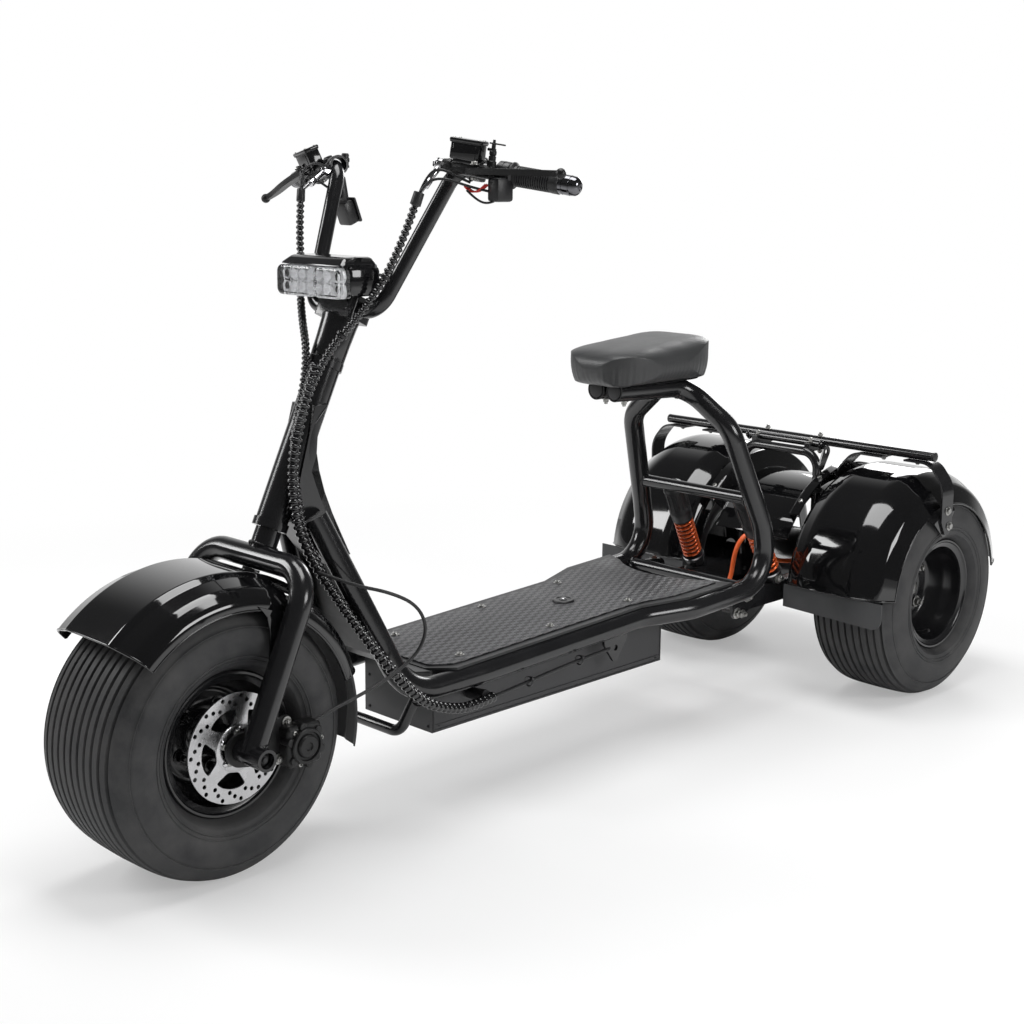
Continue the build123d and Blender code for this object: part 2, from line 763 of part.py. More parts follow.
# ---------------------------------------------------------------- rear fenders and flaps
fender_mid = rear_fender_radius - guard_wall / 2
skirt_y = rear_fender_outer_y + fender_flare
fender_profile = [
    (rear_fender_inner_y + guard_wall / 2, fender_mid - 60.0),
    (rear_fender_inner_y + guard_wall / 2, fender_mid - 20.5),
    (rear_fender_crown_inner_y, fender_mid),
    (rear_fender_crown_outer_y, fender_mid),
    (rear_fender_outer_y, fender_mid - 28.0),
    (skirt_y, fender_skirt_radius),
]
fender_bends = [30, 60, 90, 24]
tab_profile = [
    (skirt_y - 0.5, fender_skirt_radius + 0.5),
    (fender_tab_y, fender_skirt_radius - 8.0),
    (fender_tab_y, fender_skirt_radius - 72.0),
]
tab_outline = [(104, 434), (100, 416), (46, 366), (36, 366), (-2, 428), (-2, 434)]
flap_corners_front = [
    (rear_fender_inner_y + 4.0, 252),
    (rear_fender_inner_y + 54.0, 252),
    (rear_fender_inner_y + 58.0, 252 + rear_flap_ear_height),
    (rear_fender_outer_y - 44.0, 252 + rear_flap_ear_height),
    (rear_fender_outer_y - 40.0, 252),
    (rear_flap_outer_y, 252),
    (rear_flap_outer_y, rear_flap_bottom),
    (rear_fender_inner_y + 4.0, rear_flap_bottom + 8.0),
]
tab_back_deg = 4.0
tab_front_deg = 34.0
flaps = {}
for side, name in ((1, "left"), (-1, "right")):
    with BuildPart() as fender_tab:
        add(arch(rear_axle_x, side, tab_profile, [5], guard_wall, tab_back_deg, tab_front_deg))
        with BuildSketch(Plane(origin=station(0, side * skirt_y, 0), x_dir=(1, 0, 0), z_dir=(0, -1, 0))):
            with BuildLine():
                Polyline(*tab_outline, close=True)
            make_face()
        extrude(amount=20, both=True, mode=Mode.INTERSECT)
    with BuildPart() as fender:
        add(arch(rear_axle_x, side, fender_profile, fender_bends, guard_wall, fender_back_deg, fender_front_deg))
        add(fender_tab.part)
    finish(fender.part, f"{name}_fender")
    with BuildPart() as flap:
        flap_face = Plane(origin=station(rear_flap_station, 0, 0), x_dir=(0, 1, 0), z_dir=(1, 0, 0))
        with BuildSketch(flap_face):
            with BuildLine():
                Polyline(*[(side * y, z) for y, z in flap_corners_front], close=True)
            make_face()
        extrude(amount=flap_thickness / 2, both=True)
        fillet(flap.edges().filter_by(Axis.X).group_by(Axis.Z)[0], radius=24)
        with BuildSketch(flap_face):
            with Locations((side * 220, 266), (side * 290, 266)):
                Circle(6)
        extrude(amount=9)
        add(fender.part, mode=Mode.SUBTRACT)
    flaps[name] = flap.part
with BuildPart() as fender_flaps:
    add(flaps["left"])
    add(flaps["right"])
finish(fender_flaps.part, "fender_flaps")

# ---------------------------------------------------------------- rear rack, straps, centre panel
arm_top = axle_height + swing_arm_height / 2
hoop_feet = [station(rack_hoop_station, side * rack_hoop_y, arm_top + seat_gap) for side in (-1, 1)]
hoop_heads = [station(rack_hoop_station, side * rack_hoop_y, rack_hoop_z) for side in (-1, 1)]
rack_hoop = bent_tube([hoop_feet[0], *hoop_heads, hoop_feet[1]], [38, 38], rack_tube_dia)
rack_bar_ends = [station(rack_bar_station, side * rack_bar_half, rack_bar_z) for side in (-1, 1)]
stay_ends = [station(75, side * 104, rack_bar_z - 2.0) for side in (-1, 1)]
with BuildPart() as rear_rack:
    add(straight_tube(*rack_bar_ends, rack_tube_dia))
    add(straight_tube(*stay_ends, rack_tube_dia - 4.0))
    add(rack_hoop)
    for side in (1, -1):
        add(rounded_block((62, 16, 20), Plane(origin=station(62, side * 72, rack_bar_z - 10.0)), 2.0))
    tab_face = Plane(origin=station(0, rack_hoop_y + 11.0, 0), x_dir=(1, 0, 0), z_dir=(0, -1, 0))
    with BuildSketch(tab_face):
        with Locations(rack_tab_hole):
            Circle(13)
        with Locations((87, 486)):
            Circle(9)
        make_hull()
        with Locations(rack_tab_hole):
            Circle(rack_tab_hole_dia / 2, mode=Mode.SUBTRACT)
    extrude(amount=4)
finish(rear_rack.part, "rear_rack")

strap_top = rack_bar_z - rack_tube_dia / 2 - seat_gap - strap_thickness / 2
outer_strap_y = fender_tab_y + guard_wall / 2 + seat_gap + strap_thickness / 2
inner_strap_y = rear_fender_inner_y - seat_gap - strap_thickness / 2
outer_strap = [(300, strap_top), (362, strap_top), (outer_strap_y, 478), (outer_strap_y, 372)]
inner_strap = [(246, strap_top), (172, strap_top), (inner_strap_y, 480), (inner_strap_y, 440)]
strap_end = [(-26, 560), (26, 560), (20, 400), (4, 371), (-14, 371), (-26, 400)]
strap_section = Plane(origin=station(rack_bar_station, 0, 0), x_dir=(0, 1, 0), z_dir=(1, 0, 0))
with BuildPart() as fender_straps:
    for side in (1, -1):
        for path, bends in ((outer_strap, [40, 60]), (inner_strap, [40, 40])):
            with BuildSketch(strap_section):
                with BuildLine():
                    FilletPolyline(*[(side * y, z) for y, z in path], radius=bends)
                trace(line_width=strap_thickness)
            extrude(amount=strap_width / 2, both=True)
    with BuildSketch(Plane(origin=station(rack_bar_station, 0, 0), x_dir=(1, 0, 0), z_dir=(0, -1, 0))):
        with BuildLine():
            Polyline(*strap_end, close=True)
        make_face()
    extrude(amount=outer_strap_y + strap_thickness, both=True, mode=Mode.INTERSECT)
finish(fender_straps.part, "fender_straps")

panel_side_y = rear_fender_inner_y - 2 * seat_gap - strap_thickness - 1.0
panel_ledge, panel_bed = 256.5, 214.5
panel_corners = [(panel_side_y, panel_ledge), (panel_side_y - 25.0, panel_ledge), (panel_side_y - 33.0, panel_bed)]
panel_profile = panel_corners + [(-y, radius) for y, radius in reversed(panel_corners)]
with BuildPart() as centre_panel:
    add(arch(rear_axle_x, 1, panel_profile, [6, 6, 6, 6], guard_wall, 62.0, 50.0))
    for foot_point, head_point in zip(hoop_feet, hoop_heads):
        add(straight_tube(foot_point, head_point, rack_tube_dia + 2 * seat_gap), mode=Mode.SUBTRACT)
finish(centre_panel.part, "centre_panel")

lamp_depth = 24.0
lamp_lean = radians(50.0)
lamp_out = panel_bed + guard_wall / 2 + seat_gap + lamp_depth / 2
lamp_place = Plane(
    origin=station(-lamp_out * sin(lamp_lean), 0, axle_height + lamp_out * cos(lamp_lean)),
    x_dir=(0, 1, 0),
    z_dir=(-sin(lamp_lean), 0, cos(lamp_lean)),
)
finish(rounded_block((130, 36, lamp_depth), lamp_place, 5.0), "tail_lamp")

with BuildPart() as frame_lugs:
    for side in (1, -1):
        plate_y = side * (pivot_half_width + seat_gap + pivot_plate_thickness / 2)
        with BuildSketch(Plane(origin=station(0, plate_y, 0), x_dir=(1, 0, 0), z_dir=(0, -1, 0))):
            for spot, radius in (((414, 224), 20), ((342, 257), 18), ((426, 266), 16)):
                with Locations(spot):
                    Circle(radius)
            make_hull()
        extrude(amount=pivot_plate_thickness / 2, both=True)
    with BuildSketch(Plane(origin=station(786, rail_y + 3, 0), x_dir=(1, 0, 0), z_dir=(0, -1, 0))):
        with BuildLine():
            Polyline((-34, 254), (38, 254), (34, 226), (20, 206), (8, 190), (-6, 190), (-14, 206), (-30, 226), close=True)
        make_face()
        with Locations((2, 216)):
            Circle(6.0, mode=Mode.SUBTRACT)
    extrude(amount=6)
    add(left_tube, mode=Mode.SUBTRACT)
    add(right_tube, mode=Mode.SUBTRACT)
    add(cross_tubes.part, mode=Mode.SUBTRACT)
finish(frame_lugs.part, "frame_lugs")


# ---------------------------------------------------------------- handlebar and clamp
def bar_point(y):
    """Point on the swept grip line of the handlebar at a sideways distance."""
    return steered(-7.0 - bar_sweep * (abs(y) - bar_shoulder_y), y, grip_line_height)


def bar_place(y, roll_deg):
    """Plane on the grip line: X ahead of the bar, Y along it to the left, Z up, rolled forward."""
    side = 1 if y > 0 else -1
    along = (Vector(*bar_point(side * bar_end_y)) - Vector(*bar_point(side * bar_shoulder_y))) * side
    ahead = along.cross(Vector(0, 0, 1)).normalized()
    rise = ahead.cross(along).normalized()
    roll = radians(roll_deg)
    return Plane(
        origin=bar_point(y),
        x_dir=ahead * cos(roll) - rise * sin(roll),
        z_dir=rise * cos(roll) + ahead * sin(roll),
    )


left_bar = [bar_point(grip_end_y), bar_point(bar_shoulder_y), steered(0, bar_bottom_half, bar_clamp_height)]
with BuildPart() as handlebar:
    add(bent_tube(left_bar + mirrored(reversed(left_bar)), [bar_corner_radius] * 4, bar_tube_dia))
finish(handlebar.part, "handlebar")

sleeve_foot = head_tube_top + 1.5
clamp_bore = [steered(0, side * 60.0, bar_clamp_height) for side in (-1, 1)]
with BuildPart() as bar_clamp:
    add(straight_tube(steered(0, 0, sleeve_foot), steered(0, 0, bar_clamp_height - 14), 58))
    with BuildSketch(steering.offset(bar_clamp_height - 20)):
        RectangleRounded(46, 96, 8)
    extrude(amount=40)
    with BuildSketch(steering.offset(sleeve_foot)):
        Circle(steerer_dia / 2 + seat_gap)
    extrude(amount=steerer_top + seat_gap - sleeve_foot, mode=Mode.SUBTRACT)
    add(straight_tube(*clamp_bore, bar_tube_dia + 2 * seat_gap), mode=Mode.SUBTRACT)
finish(bar_clamp.part, "bar_clamp")

grip_bore = bar_tube_dia + 2 * seat_gap
with BuildPart() as grips:
    for side in (1, -1):
        add(straight_tube(bar_point(side * grip_start_y), bar_point(side * grip_end_y), grip_dia, bore=grip_bore))
finish(grips.part, "grips")

with BuildPart() as bar_ends:
    for side in (1, -1):
        add(straight_tube(bar_point(side * (grip_end_y + seat_gap)), bar_point(side * bar_end_y), bar_end_dia))
    chamfer(bar_ends.edges().group_by(SortBy.LENGTH)[-1], length=3)
finish(bar_ends.part, "bar_ends")

# ---------------------------------------------------------------- brake cylinders, levers, switches
cylinder_reach = 25.0
cylinder_places = {1: (185.0, 0.0), -1: (-212.0, 22.0)}
with BuildPart() as brake_cylinders:
    for side, (y, roll) in cylinder_places.items():
        place = bar_place(y, roll)
        reservoir = Plane(
            origin=place.from_local_coords(Vector(cylinder_reach, 0, reservoir_height / 2 + 6.0)),
            x_dir=place.x_dir,
            z_dir=place.z_dir,
        )
        add(rounded_block((reservoir_depth, reservoir_length, reservoir_height), reservoir, 4.0))
        ends = [place.from_local_coords(Vector(cylinder_reach, shift, 0)) for shift in (-38.0, 38.0)]
        add(straight_tube(*ends, cylinder_dia))
        add(straight_tube(bar_point(y - 15.0), bar_point(y + 15.0), bar_ring_dia))
        perch = Plane(
            origin=place.from_local_coords(Vector(cylinder_reach + 2.0, side * 34.0, 0)),
            x_dir=place.x_dir,
            z_dir=place.z_dir,
        )
        add(rounded_block((34, 26, 20), perch, 4.0))
    add(handlebar.part, mode=Mode.SUBTRACT)
    add(grips.part, mode=Mode.SUBTRACT)
finish(brake_cylinders.part, "brake_cylinders")

lever_shape = [(-8, 8), (18, 10), (60, 10), (100, 7), (140, 3), (168, 4)]
lever_back = [(168, -4), (140, -7), (100, -7), (60, -5), (30, -8), (-8, -10)]
lever_ends = {1: ((1262, 214, 1122), (1228, 376, 1120)), -1: ((1262, -226, 1112), (1230, -374, 1066))}
with BuildPart() as levers:
    for side, (pivot, tip) in lever_ends.items():
        root = Vector(*station(*pivot))
        reach = Vector(*station(*tip)) - root
        rise = reach.cross(Vector(-1, 0, 0)) * side
        scale_along = reach.length / 172.0
        blade = Plane(origin=root, x_dir=reach, z_dir=rise)
        with BuildSketch(blade):
            with BuildLine():
                Spline(*[(x * scale_along, -side * y) for x, y in lever_shape])
                Line((168 * scale_along, -side * 4), (168 * scale_along, side * 4))
                Spline(*[(x * scale_along, -side * y) for x, y in lever_back])
                Line((-8 * scale_along, side * 10), (-8 * scale_along, -side * 8))
            make_face()
        extrude(amount=lever_thickness / 2, both=True)
        with Locations(station(*tip)):
            Sphere(lever_ball_dia / 2)
    add(brake_cylinders.part, mode=Mode.SUBTRACT)
finish(levers.part, "levers")

with BuildPart() as switch_blocks:
    add(straight_tube(bar_point(226), bar_point(246), bar_ring_dia))
    add(rounded_block((34, 24, 34), Plane(origin=station(1228, 244, 1095)), 4.0))
    add(straight_tube(bar_point(-152), bar_point(-172), bar_ring_dia))
    arm_lean = Plane(origin=station(1220, -160, 1080), x_dir=(1, 0, -0.2), z_dir=(0.2, 0, 1))
    add(rounded_block((14, 16, 60), arm_lean, 4.0))
    display = Plane(origin=station(1214, -160, 1046), x_dir=(1, 0, -0.4), z_dir=(0.4, 0, 1))
    add(rounded_block((24, 34, 44), display, 4.0))
    add(straight_tube(station(1214, -162, 1122), station(1212, -162, 1150), 14))
    add(handlebar.part, mode=Mode.SUBTRACT)
    add(grips.part, mode=Mode.SUBTRACT)
    add(brake_cylinders.part, mode=Mode.SUBTRACT)
finish(switch_blocks.part, "switch_blocks")

# ---------------------------------------------------------------- headlamp
lamp_height = steered(0, 0, bar_clamp_height + 62.0)[2]
housing_outline = [
    (1344, -22), (1344, 20), (1358, 30), (1384, 33), (1412, 26), (1416, 20), (1416, -30), (1362, -30),
]
with BuildPart() as headlamp_housing:
    with BuildSketch(Plane(origin=(0, 0, lamp_height), x_dir=(1, 0, 0), z_dir=(0, -1, 0))):
        with BuildLine():
            Polyline(*[(rear_axle_x + x, z) for x, z in housing_outline], close=True)
        make_face()
    extrude(amount=76, both=True)
    fillet(headlamp_housing.edges().filter_by(Axis.Y), radius=6)
    with BuildSketch(Plane(origin=station(1362, 0, lamp_height - 38.0))):
        RectangleRounded(38, 46, 6)
    extrude(amount=24)
    lens_seat = Plane(origin=station(1420, 0, lamp_height - 8.0))
    add(rounded_block((40, 178, 54), lens_seat, 12.0), mode=Mode.SUBTRACT)
    add(bar_clamp.part, mode=Mode.SUBTRACT)
finish(headlamp_housing.part, "headlamp_housing")

with BuildPart() as headlamp_lens:
    add(rounded_block((28, 168, 50), Plane(origin=station(1414.4, 0, lamp_height - 8.0)), 12.0))
finish(headlamp_lens.part, "headlamp_lens")

# ---------------------------------------------------------------- front brake caliper
caliper_side = Plane(origin=(front_axle_x, 119, axle_height), x_dir=(-1, 0, 0), z_dir=(0, 1, 0))
with BuildPart() as brake_caliper:
    with BuildSketch(caliper_side):
        Circle(28)
        with Locations((88, 27), (70, -32)):
            Circle(10)
        make_hull()
        Circle(sleeve_dia / 2 + seat_gap, mode=Mode.SUBTRACT)
    extrude(amount=6)
    add(rounded_block((68, 33, 70), Plane(origin=station(1564, 133.5, 217)), 8.0))
    with BuildSketch(Plane(origin=station(1571, 123.5, 222), z_dir=(0, -1, 0))):
        RectangleRounded(30, 40, 6)
    extrude(amount=27)
    disc_slot = [station(wheelbase, disc_plane_y + shift, axle_height) for shift in (-3.5, 3.5)]
    add(straight_tube(*disc_slot, 2 * (disc_radius + 6.0)), mode=Mode.SUBTRACT)
finish(brake_caliper.part, "brake_caliper")

# ---------------------------------------------------------------- conduits, cables and hose
main_conduit_points = [
    (1311, 140, 1082), (1336, 126, 998), (1382, 98, 906), (1440, 34, 812), (1487, 32, 690),
    (1500, 42, 590), (1480, 50, 506), (1432, 98, 400), (1384, 137, 312), (1310, 149, 228),
    (1236, 149, 200), (1188, 147, 195), (1142, 146, 200),
]
right_conduit_points = [
    (1322, -150, 1082), (1338, -136, 1018), (1352, -114, 962), (1366, -100, 916), (1394, -60, 874),
    (1426, -8, 830), (1463, 23, 772), (1505, 21, 690), (1518, 34, 592), (1502, 40, 506), (1463, 88, 402),
]
brake_hose_points = [
    (1474, 76, 474), (1438, 122, 454), (1388, 152, 440), (1338, 166, 412), (1316, 168, 368), (1336, 166, 326),
    (1388, 158, 296), (1450, 152, 276), (1508, 146, 262), (1548, 140, 246),
]
deck_cable_points = [
    (1141.7, 146, 200), (1096, 143, 202), (1040, 140, 206), (976, 140, 212), (904, 140, 218), (830, 140, 222),
]
power_lead_points = [
    (607.5, 26, 214), (548, 25, 201), (486, 24, 196), (424, 24, 195), (366, 24, 197), (320, 25, 214),
    (292, 27, 252), (287, 29, 300), (274, 33, 334), (246, 39, 350), (218, 45, 336), (200, 50, 302),
    (170, 54, 276), (124, 56, 266), (76, 56, 262),
]
finish(cord_tube([station(*p) for p in main_conduit_points], main_conduit_dia, "main_conduit"), "main_conduit")
finish(cord_tube([station(*p) for p in right_conduit_points], right_conduit_dia, "right_conduit"), "right_conduit")
with BuildPart() as brake_hose:
    add(cord_tube([station(*p) for p in brake_hose_points], brake_hose_dia, "brake_hose"))
    add(brake_caliper.part, mode=Mode.SUBTRACT)
finish(brake_hose.part, "brake_hose")
finish(cord_tube([station(*p) for p in deck_cable_points], deck_cable_dia, "deck_cable"), "deck_cable")
with BuildPart() as power_lead:
    add(cord_tube([station(*p) for p in power_lead_points], power_lead_dia, "power_lead"))
    add(rear_axle.part, mode=Mode.SUBTRACT)
    add(battery_case.part, mode=Mode.SUBTRACT)
finish(power_lead.part, "power_lead")
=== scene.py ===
"""Electric tricycle, dressed: the studio, the finishes and the detailed pieces over the plain solids.

Row frame: +X forward, +Y to the rider's left, +Z up, metres, ground at z = 0. Each sub-assembly is a
class.
"""

import json
import logging
from collections.abc import Callable, Iterable, Sequence
from dataclasses import dataclass
from enum import Enum
from math import atan2, cos, pi, radians, sin

import bmesh
import bpy
from bpy.types import Material, Object
from mathutils import Matrix, Vector


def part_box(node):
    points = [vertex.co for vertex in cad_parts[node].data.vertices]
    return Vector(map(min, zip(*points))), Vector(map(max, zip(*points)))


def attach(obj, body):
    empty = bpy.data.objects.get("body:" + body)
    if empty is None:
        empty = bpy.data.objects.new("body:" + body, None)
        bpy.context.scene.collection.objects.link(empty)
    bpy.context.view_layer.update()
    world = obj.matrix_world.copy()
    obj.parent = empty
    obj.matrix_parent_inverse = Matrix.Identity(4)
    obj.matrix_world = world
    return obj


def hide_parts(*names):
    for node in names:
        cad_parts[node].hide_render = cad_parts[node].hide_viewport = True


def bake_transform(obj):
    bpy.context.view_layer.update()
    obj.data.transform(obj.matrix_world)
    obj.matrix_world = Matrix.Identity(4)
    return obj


logging.basicConfig(level=logging.INFO, format="%(message)s")
log = logging.getLogger("tricycle")

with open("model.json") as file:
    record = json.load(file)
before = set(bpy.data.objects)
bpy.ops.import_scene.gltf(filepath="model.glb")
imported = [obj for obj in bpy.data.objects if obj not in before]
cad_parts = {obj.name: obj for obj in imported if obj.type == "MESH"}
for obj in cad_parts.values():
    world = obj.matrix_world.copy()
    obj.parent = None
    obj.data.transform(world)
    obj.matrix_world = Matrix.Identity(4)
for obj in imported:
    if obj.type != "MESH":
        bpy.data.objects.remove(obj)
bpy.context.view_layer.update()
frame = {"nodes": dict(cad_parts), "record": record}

Point = tuple[float, float, float]
Profile = Sequence[tuple[float, float]]
AHEAD, LEFT, UP = (Vector(row).freeze() for row in ((1, 0, 0), (0, 1, 0), (0, 0, 1)))


class Body(Enum):
    """The bodies that pieces ride on."""

    FRAME = "root"
    STEERING = "steering"
    FRONT_WHEEL = "front_wheel"
    REAR_LEFT_WHEEL = "rear_left_wheel"
    REAR_RIGHT_WHEEL = "rear_right_wheel"


# ------------------------------------------------------------------------------------------- layout
@dataclass(frozen=True)
class Layout:
    """Stations of the machine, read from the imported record."""

    rear: Vector
    front: Vector
    steer_foot: Vector
    steer_axis: Vector

    @classmethod
    def from_record(cls, record: dict) -> "Layout":
        """Find the axles and the steering axis.

        Args:
            record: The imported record, with its joints.

        Returns:
            The layout that all sub-assemblies share.
        """
        joints = {joint["name"]: joint for joint in record["behaviour"]["joints"]}
        left = Vector(joints["rear_left_wheel_spin"]["pos_m"])
        front = Vector(joints["front_wheel_spin"]["pos_m"])
        axis = Vector(joints["steering"]["axis"]).normalized()
        point = Vector(joints["steering"]["pos_m"])
        foot = point + axis * (front - point).dot(axis)
        return cls(Vector((left.x, 0.0, left.z)), front, foot, axis)

    def at(self, ahead: float, left: float, height: float) -> Vector:
        """Point by its distance ahead of the rear axle, to the left, and above the ground."""
        return Vector((self.rear.x + ahead, left, height))

    def steered(self, ahead: float, left: float, up: float) -> Vector:
        """Point by its distance ahead of the steering axis, to the left, and up along the axis."""
        forward = Vector((self.steer_axis.z, 0.0, -self.steer_axis.x))
        return self.steer_foot + forward * ahead + Vector((0.0, left, 0.0)) + self.steer_axis * up

    def points(self, stations: Iterable[Point]) -> list[Vector]:
        """The points at several stations."""
        return [self.at(*station) for station in stations]


# ------------------------------------------------------------------------------------------ modelling
class Bench:
    """Modelling steps that all sub-assemblies use, done with Blender's operators."""

    @staticmethod
    def clear() -> None:
        """Leave edit mode and let go of everything that is selected."""
        if bpy.context.mode != "OBJECT":
            bpy.ops.object.mode_set(mode="OBJECT")
        bpy.ops.object.select_all(action="DESELECT")

    @staticmethod
    def hold(*objects: Object) -> None:
        """Select only these objects, the first one active."""
        Bench.clear()
        for obj in objects:
            obj.select_set(True)
        bpy.context.view_layer.objects.active = objects[0]

    @staticmethod
    def settle(obj: Object, name: str, smooth_deg: float = 35.0) -> Object:
        """Write the place into the mesh, name the piece and smooth its gentle edges.

        Args:
            obj: The piece.
            name: Its plain name.
            smooth_deg: Edges below this angle are smoothed.

        Returns:
            The same object, at the origin, unturned and unscaled.
        """
        Bench.hold(obj)
        bpy.ops.object.transform_apply(location=True, rotation=True, scale=True)
        bpy.ops.object.shade_smooth_by_angle(angle=radians(smooth_deg))
        obj.name = obj.data.name = name
        obj.select_set(False)
        return obj

    @staticmethod
    def pick(obj: Object, wanted: Callable[[Vector, Vector], bool]) -> None:
        """In edit mode, select the faces whose centre and normal pass a test."""
        mesh = bmesh.from_edit_mesh(obj.data)
        bpy.context.tool_settings.mesh_select_mode = (False, False, True)
        for face in mesh.faces:
            face.select_set(False)
        for face in mesh.faces:
            if wanted(face.calc_center_median(), face.normal):
                face.select_set(True)
        mesh.select_flush_mode()
        bmesh.update_edit_mesh(obj.data)

    @staticmethod
    def open_edges(obj: Object) -> None:
        """Put a mesh in edit mode with edges to be picked and none picked yet."""
        Bench.hold(obj)
        bpy.ops.object.mode_set(mode="EDIT")
        bpy.context.tool_settings.mesh_select_mode = (False, True, False)
        bpy.ops.mesh.select_all(action="DESELECT")

    @staticmethod
    def soften(obj: Object, width: float, segments: int = 2, sharp_deg: float = 40.0) -> None:
        """Bevel the sharp edges of a mesh in edit mode."""
        Bench.open_edges(obj)
        bpy.ops.mesh.edges_select_sharp(sharpness=radians(sharp_deg))
        bpy.ops.mesh.bevel(offset=width, segments=segments, affect="EDGES", clamp_overlap=True)
        bpy.ops.object.mode_set(mode="OBJECT")

    @staticmethod
    def round_along(obj: Object, axis: int, width: float, segments: int) -> None:
        """Round the edges that run along one axis of the row."""
        Bench.open_edges(obj)
        mesh = bmesh.from_edit_mesh(obj.data)
        for edge in mesh.edges:
            run = edge.verts[1].co - edge.verts[0].co
            edge.select_set(abs(run[axis]) > 0.9 * run.length)
        bmesh.update_edit_mesh(obj.data)
        bpy.ops.mesh.bevel(offset=width, segments=segments, affect="EDGES")
        bpy.ops.object.mode_set(mode="OBJECT")

    @staticmethod
    def rod(
        name: str,
        start: Vector,
        end: Vector,
        radius: float,
        far_radius: float | None = None,
        sides: int = 28,
        bevel: float = 0.0,
    ) -> Object:
        """Round bar between two points, its rims bevelled.

        Args:
            name: The piece's name.
            start: Centre of the near end.
            end: Centre of the far end.
            radius: Radius at the near end.
            far_radius: Radius at the far end, the same where it is left out.
            sides: Faces around it.
            bevel: Width of the bevel on both rims.

        Returns:
            The finished bar.
        """
        Bench.clear()
        run = Vector(end) - Vector(start)
        bpy.ops.mesh.primitive_cone_add(
            vertices=sides,
            radius1=radius,
            radius2=radius if far_radius is None else far_radius,
            depth=run.length,
            location=(Vector(start) + Vector(end)) / 2,
            rotation=run.to_track_quat("Z", "Y").to_euler(),
        )
        obj = bpy.context.active_object
        bpy.ops.object.transform_apply(location=True, rotation=True, scale=True)
        if bevel:
            Bench.soften(obj, bevel)
        return Bench.settle(obj, name)

    @staticmethod
    def block(
        name: str, centre: Vector, size: Point, axes: tuple[Vector, Vector] | None = None,
        bevel: float = 0.002
    ) -> Object:
        """Block with softened edges.

        Args:
            name: The piece's name.
            centre: Its centre.
            size: Length along each of its own axes.
            axes: Its own X and Z directions, the row's where they are left out.
            bevel: Width of the bevel on its edges.

        Returns:
            The finished block.
        """
        Bench.clear()
        ahead, up = axes or (AHEAD, UP)
        ahead, up = ahead.normalized(), up.normalized()
        side = up.cross(ahead).normalized()
        turn = Matrix((ahead, side, ahead.cross(side))).transposed()
        bpy.ops.mesh.primitive_cube_add(size=1.0, location=centre, rotation=turn.to_euler())
        obj = bpy.context.active_object
        obj.scale = size
        bpy.ops.object.transform_apply(location=True, rotation=True, scale=True)
        if bevel:
            Bench.soften(obj, bevel)
        return Bench.settle(obj, name)

    @staticmethod
    def chain(points: Sequence[Vector]) -> Object:
        """Start of a turned or swept form: one vertex drawn out from point to point."""
        Bench.clear()
        bpy.ops.mesh.primitive_plane_add(size=0.001, location=points[0])
        obj = bpy.context.active_object
        bpy.ops.object.transform_apply(location=True, rotation=True, scale=True)
        bpy.ops.object.mode_set(mode="EDIT")
        bpy.context.tool_settings.mesh_select_mode = (True, False, False)
        bpy.ops.mesh.select_all(action="SELECT")
        bpy.ops.mesh.merge(type="CENTER")
        for here, there in zip(points, points[1:]):
            bpy.ops.mesh.extrude_vertices_move(TRANSFORM_OT_translate={"value": tuple(there - here)})
        return obj

    @staticmethod
    def sheet(points: Sequence[Vector], push: Sequence[float]) -> Object:
        """Closed outline filled and drawn out into a sheet of one thickness."""
        obj = Bench.chain(points)
        bpy.ops.mesh.select_all(action="SELECT")
        bpy.ops.mesh.edge_face_add()
        bpy.ops.mesh.extrude_region_move(TRANSFORM_OT_translate={"value": tuple(push)})
        bpy.ops.mesh.select_all(action="SELECT")
        bpy.ops.mesh.normals_make_consistent(inside=False)
        bpy.ops.object.mode_set(mode="OBJECT")
        return obj

    @staticmethod
    def turned(
        name: str,
        centre: Vector,
        axis: Vector,
        profile: Profile,
        steps: int = 64,
        closed: bool = False,
        smooth_deg: float = 35.0,
    ) -> Object:
        """Form turned about an axis from a profile of (along, radius) points.

        Args:
            name: The piece's name.
            centre: A point on the axis, where along is 0.
            axis: Direction of the axis.
            profile: Points of half the section.
            steps: Faces around it.
            closed: Joins the profile's last point to its first.
            smooth_deg: Edges below this angle are smoothed.

        Returns:
            The finished form with its faces outwards.
        """
        axis = axis.normalized()
        out = axis.orthogonal().normalized()
        points = [centre + axis * along + out * radius for along, radius in profile]
        if closed:
            points.append(points[0])
        obj = Bench.chain(points)
        bpy.ops.mesh.select_all(action="SELECT")
        bpy.ops.mesh.spin(steps=steps, angle=2 * pi, center=centre, axis=axis)
        bpy.ops.mesh.select_all(action="SELECT")
        bpy.ops.mesh.remove_doubles(threshold=0.00002)
        bpy.ops.mesh.normals_make_consistent(inside=False)
        bpy.ops.object.mode_set(mode="OBJECT")
        return Bench.settle(obj, name, smooth_deg)

    @staticmethod
    def link(name: str, ring: Profile, steps: int) -> Object:
        """One closed ring of a repeated row, turned about the row's own X."""
        return Bench.turned(name, Vector((0, 0, 0)), AHEAD, ring, steps=steps)

    @staticmethod
    def path(points: Sequence[Vector], order: int = 3, resolution: int = 12) -> Object:
        """Smooth curve led by points, its first and last on the curve."""
        Bench.clear()
        bpy.ops.curve.primitive_nurbs_path_add(location=(0, 0, 0))
        curve = bpy.context.active_object
        splines = curve.data.splines
        splines.clear()
        spline = splines.new("NURBS")
        spline.points.add(len(points) - 1)
        for knot, point in zip(spline.points, points):
            knot.co = (*point, 1.0)
        spline.order_u = order
        spline.use_endpoint_u = True
        spline.resolution_u = resolution
        return curve

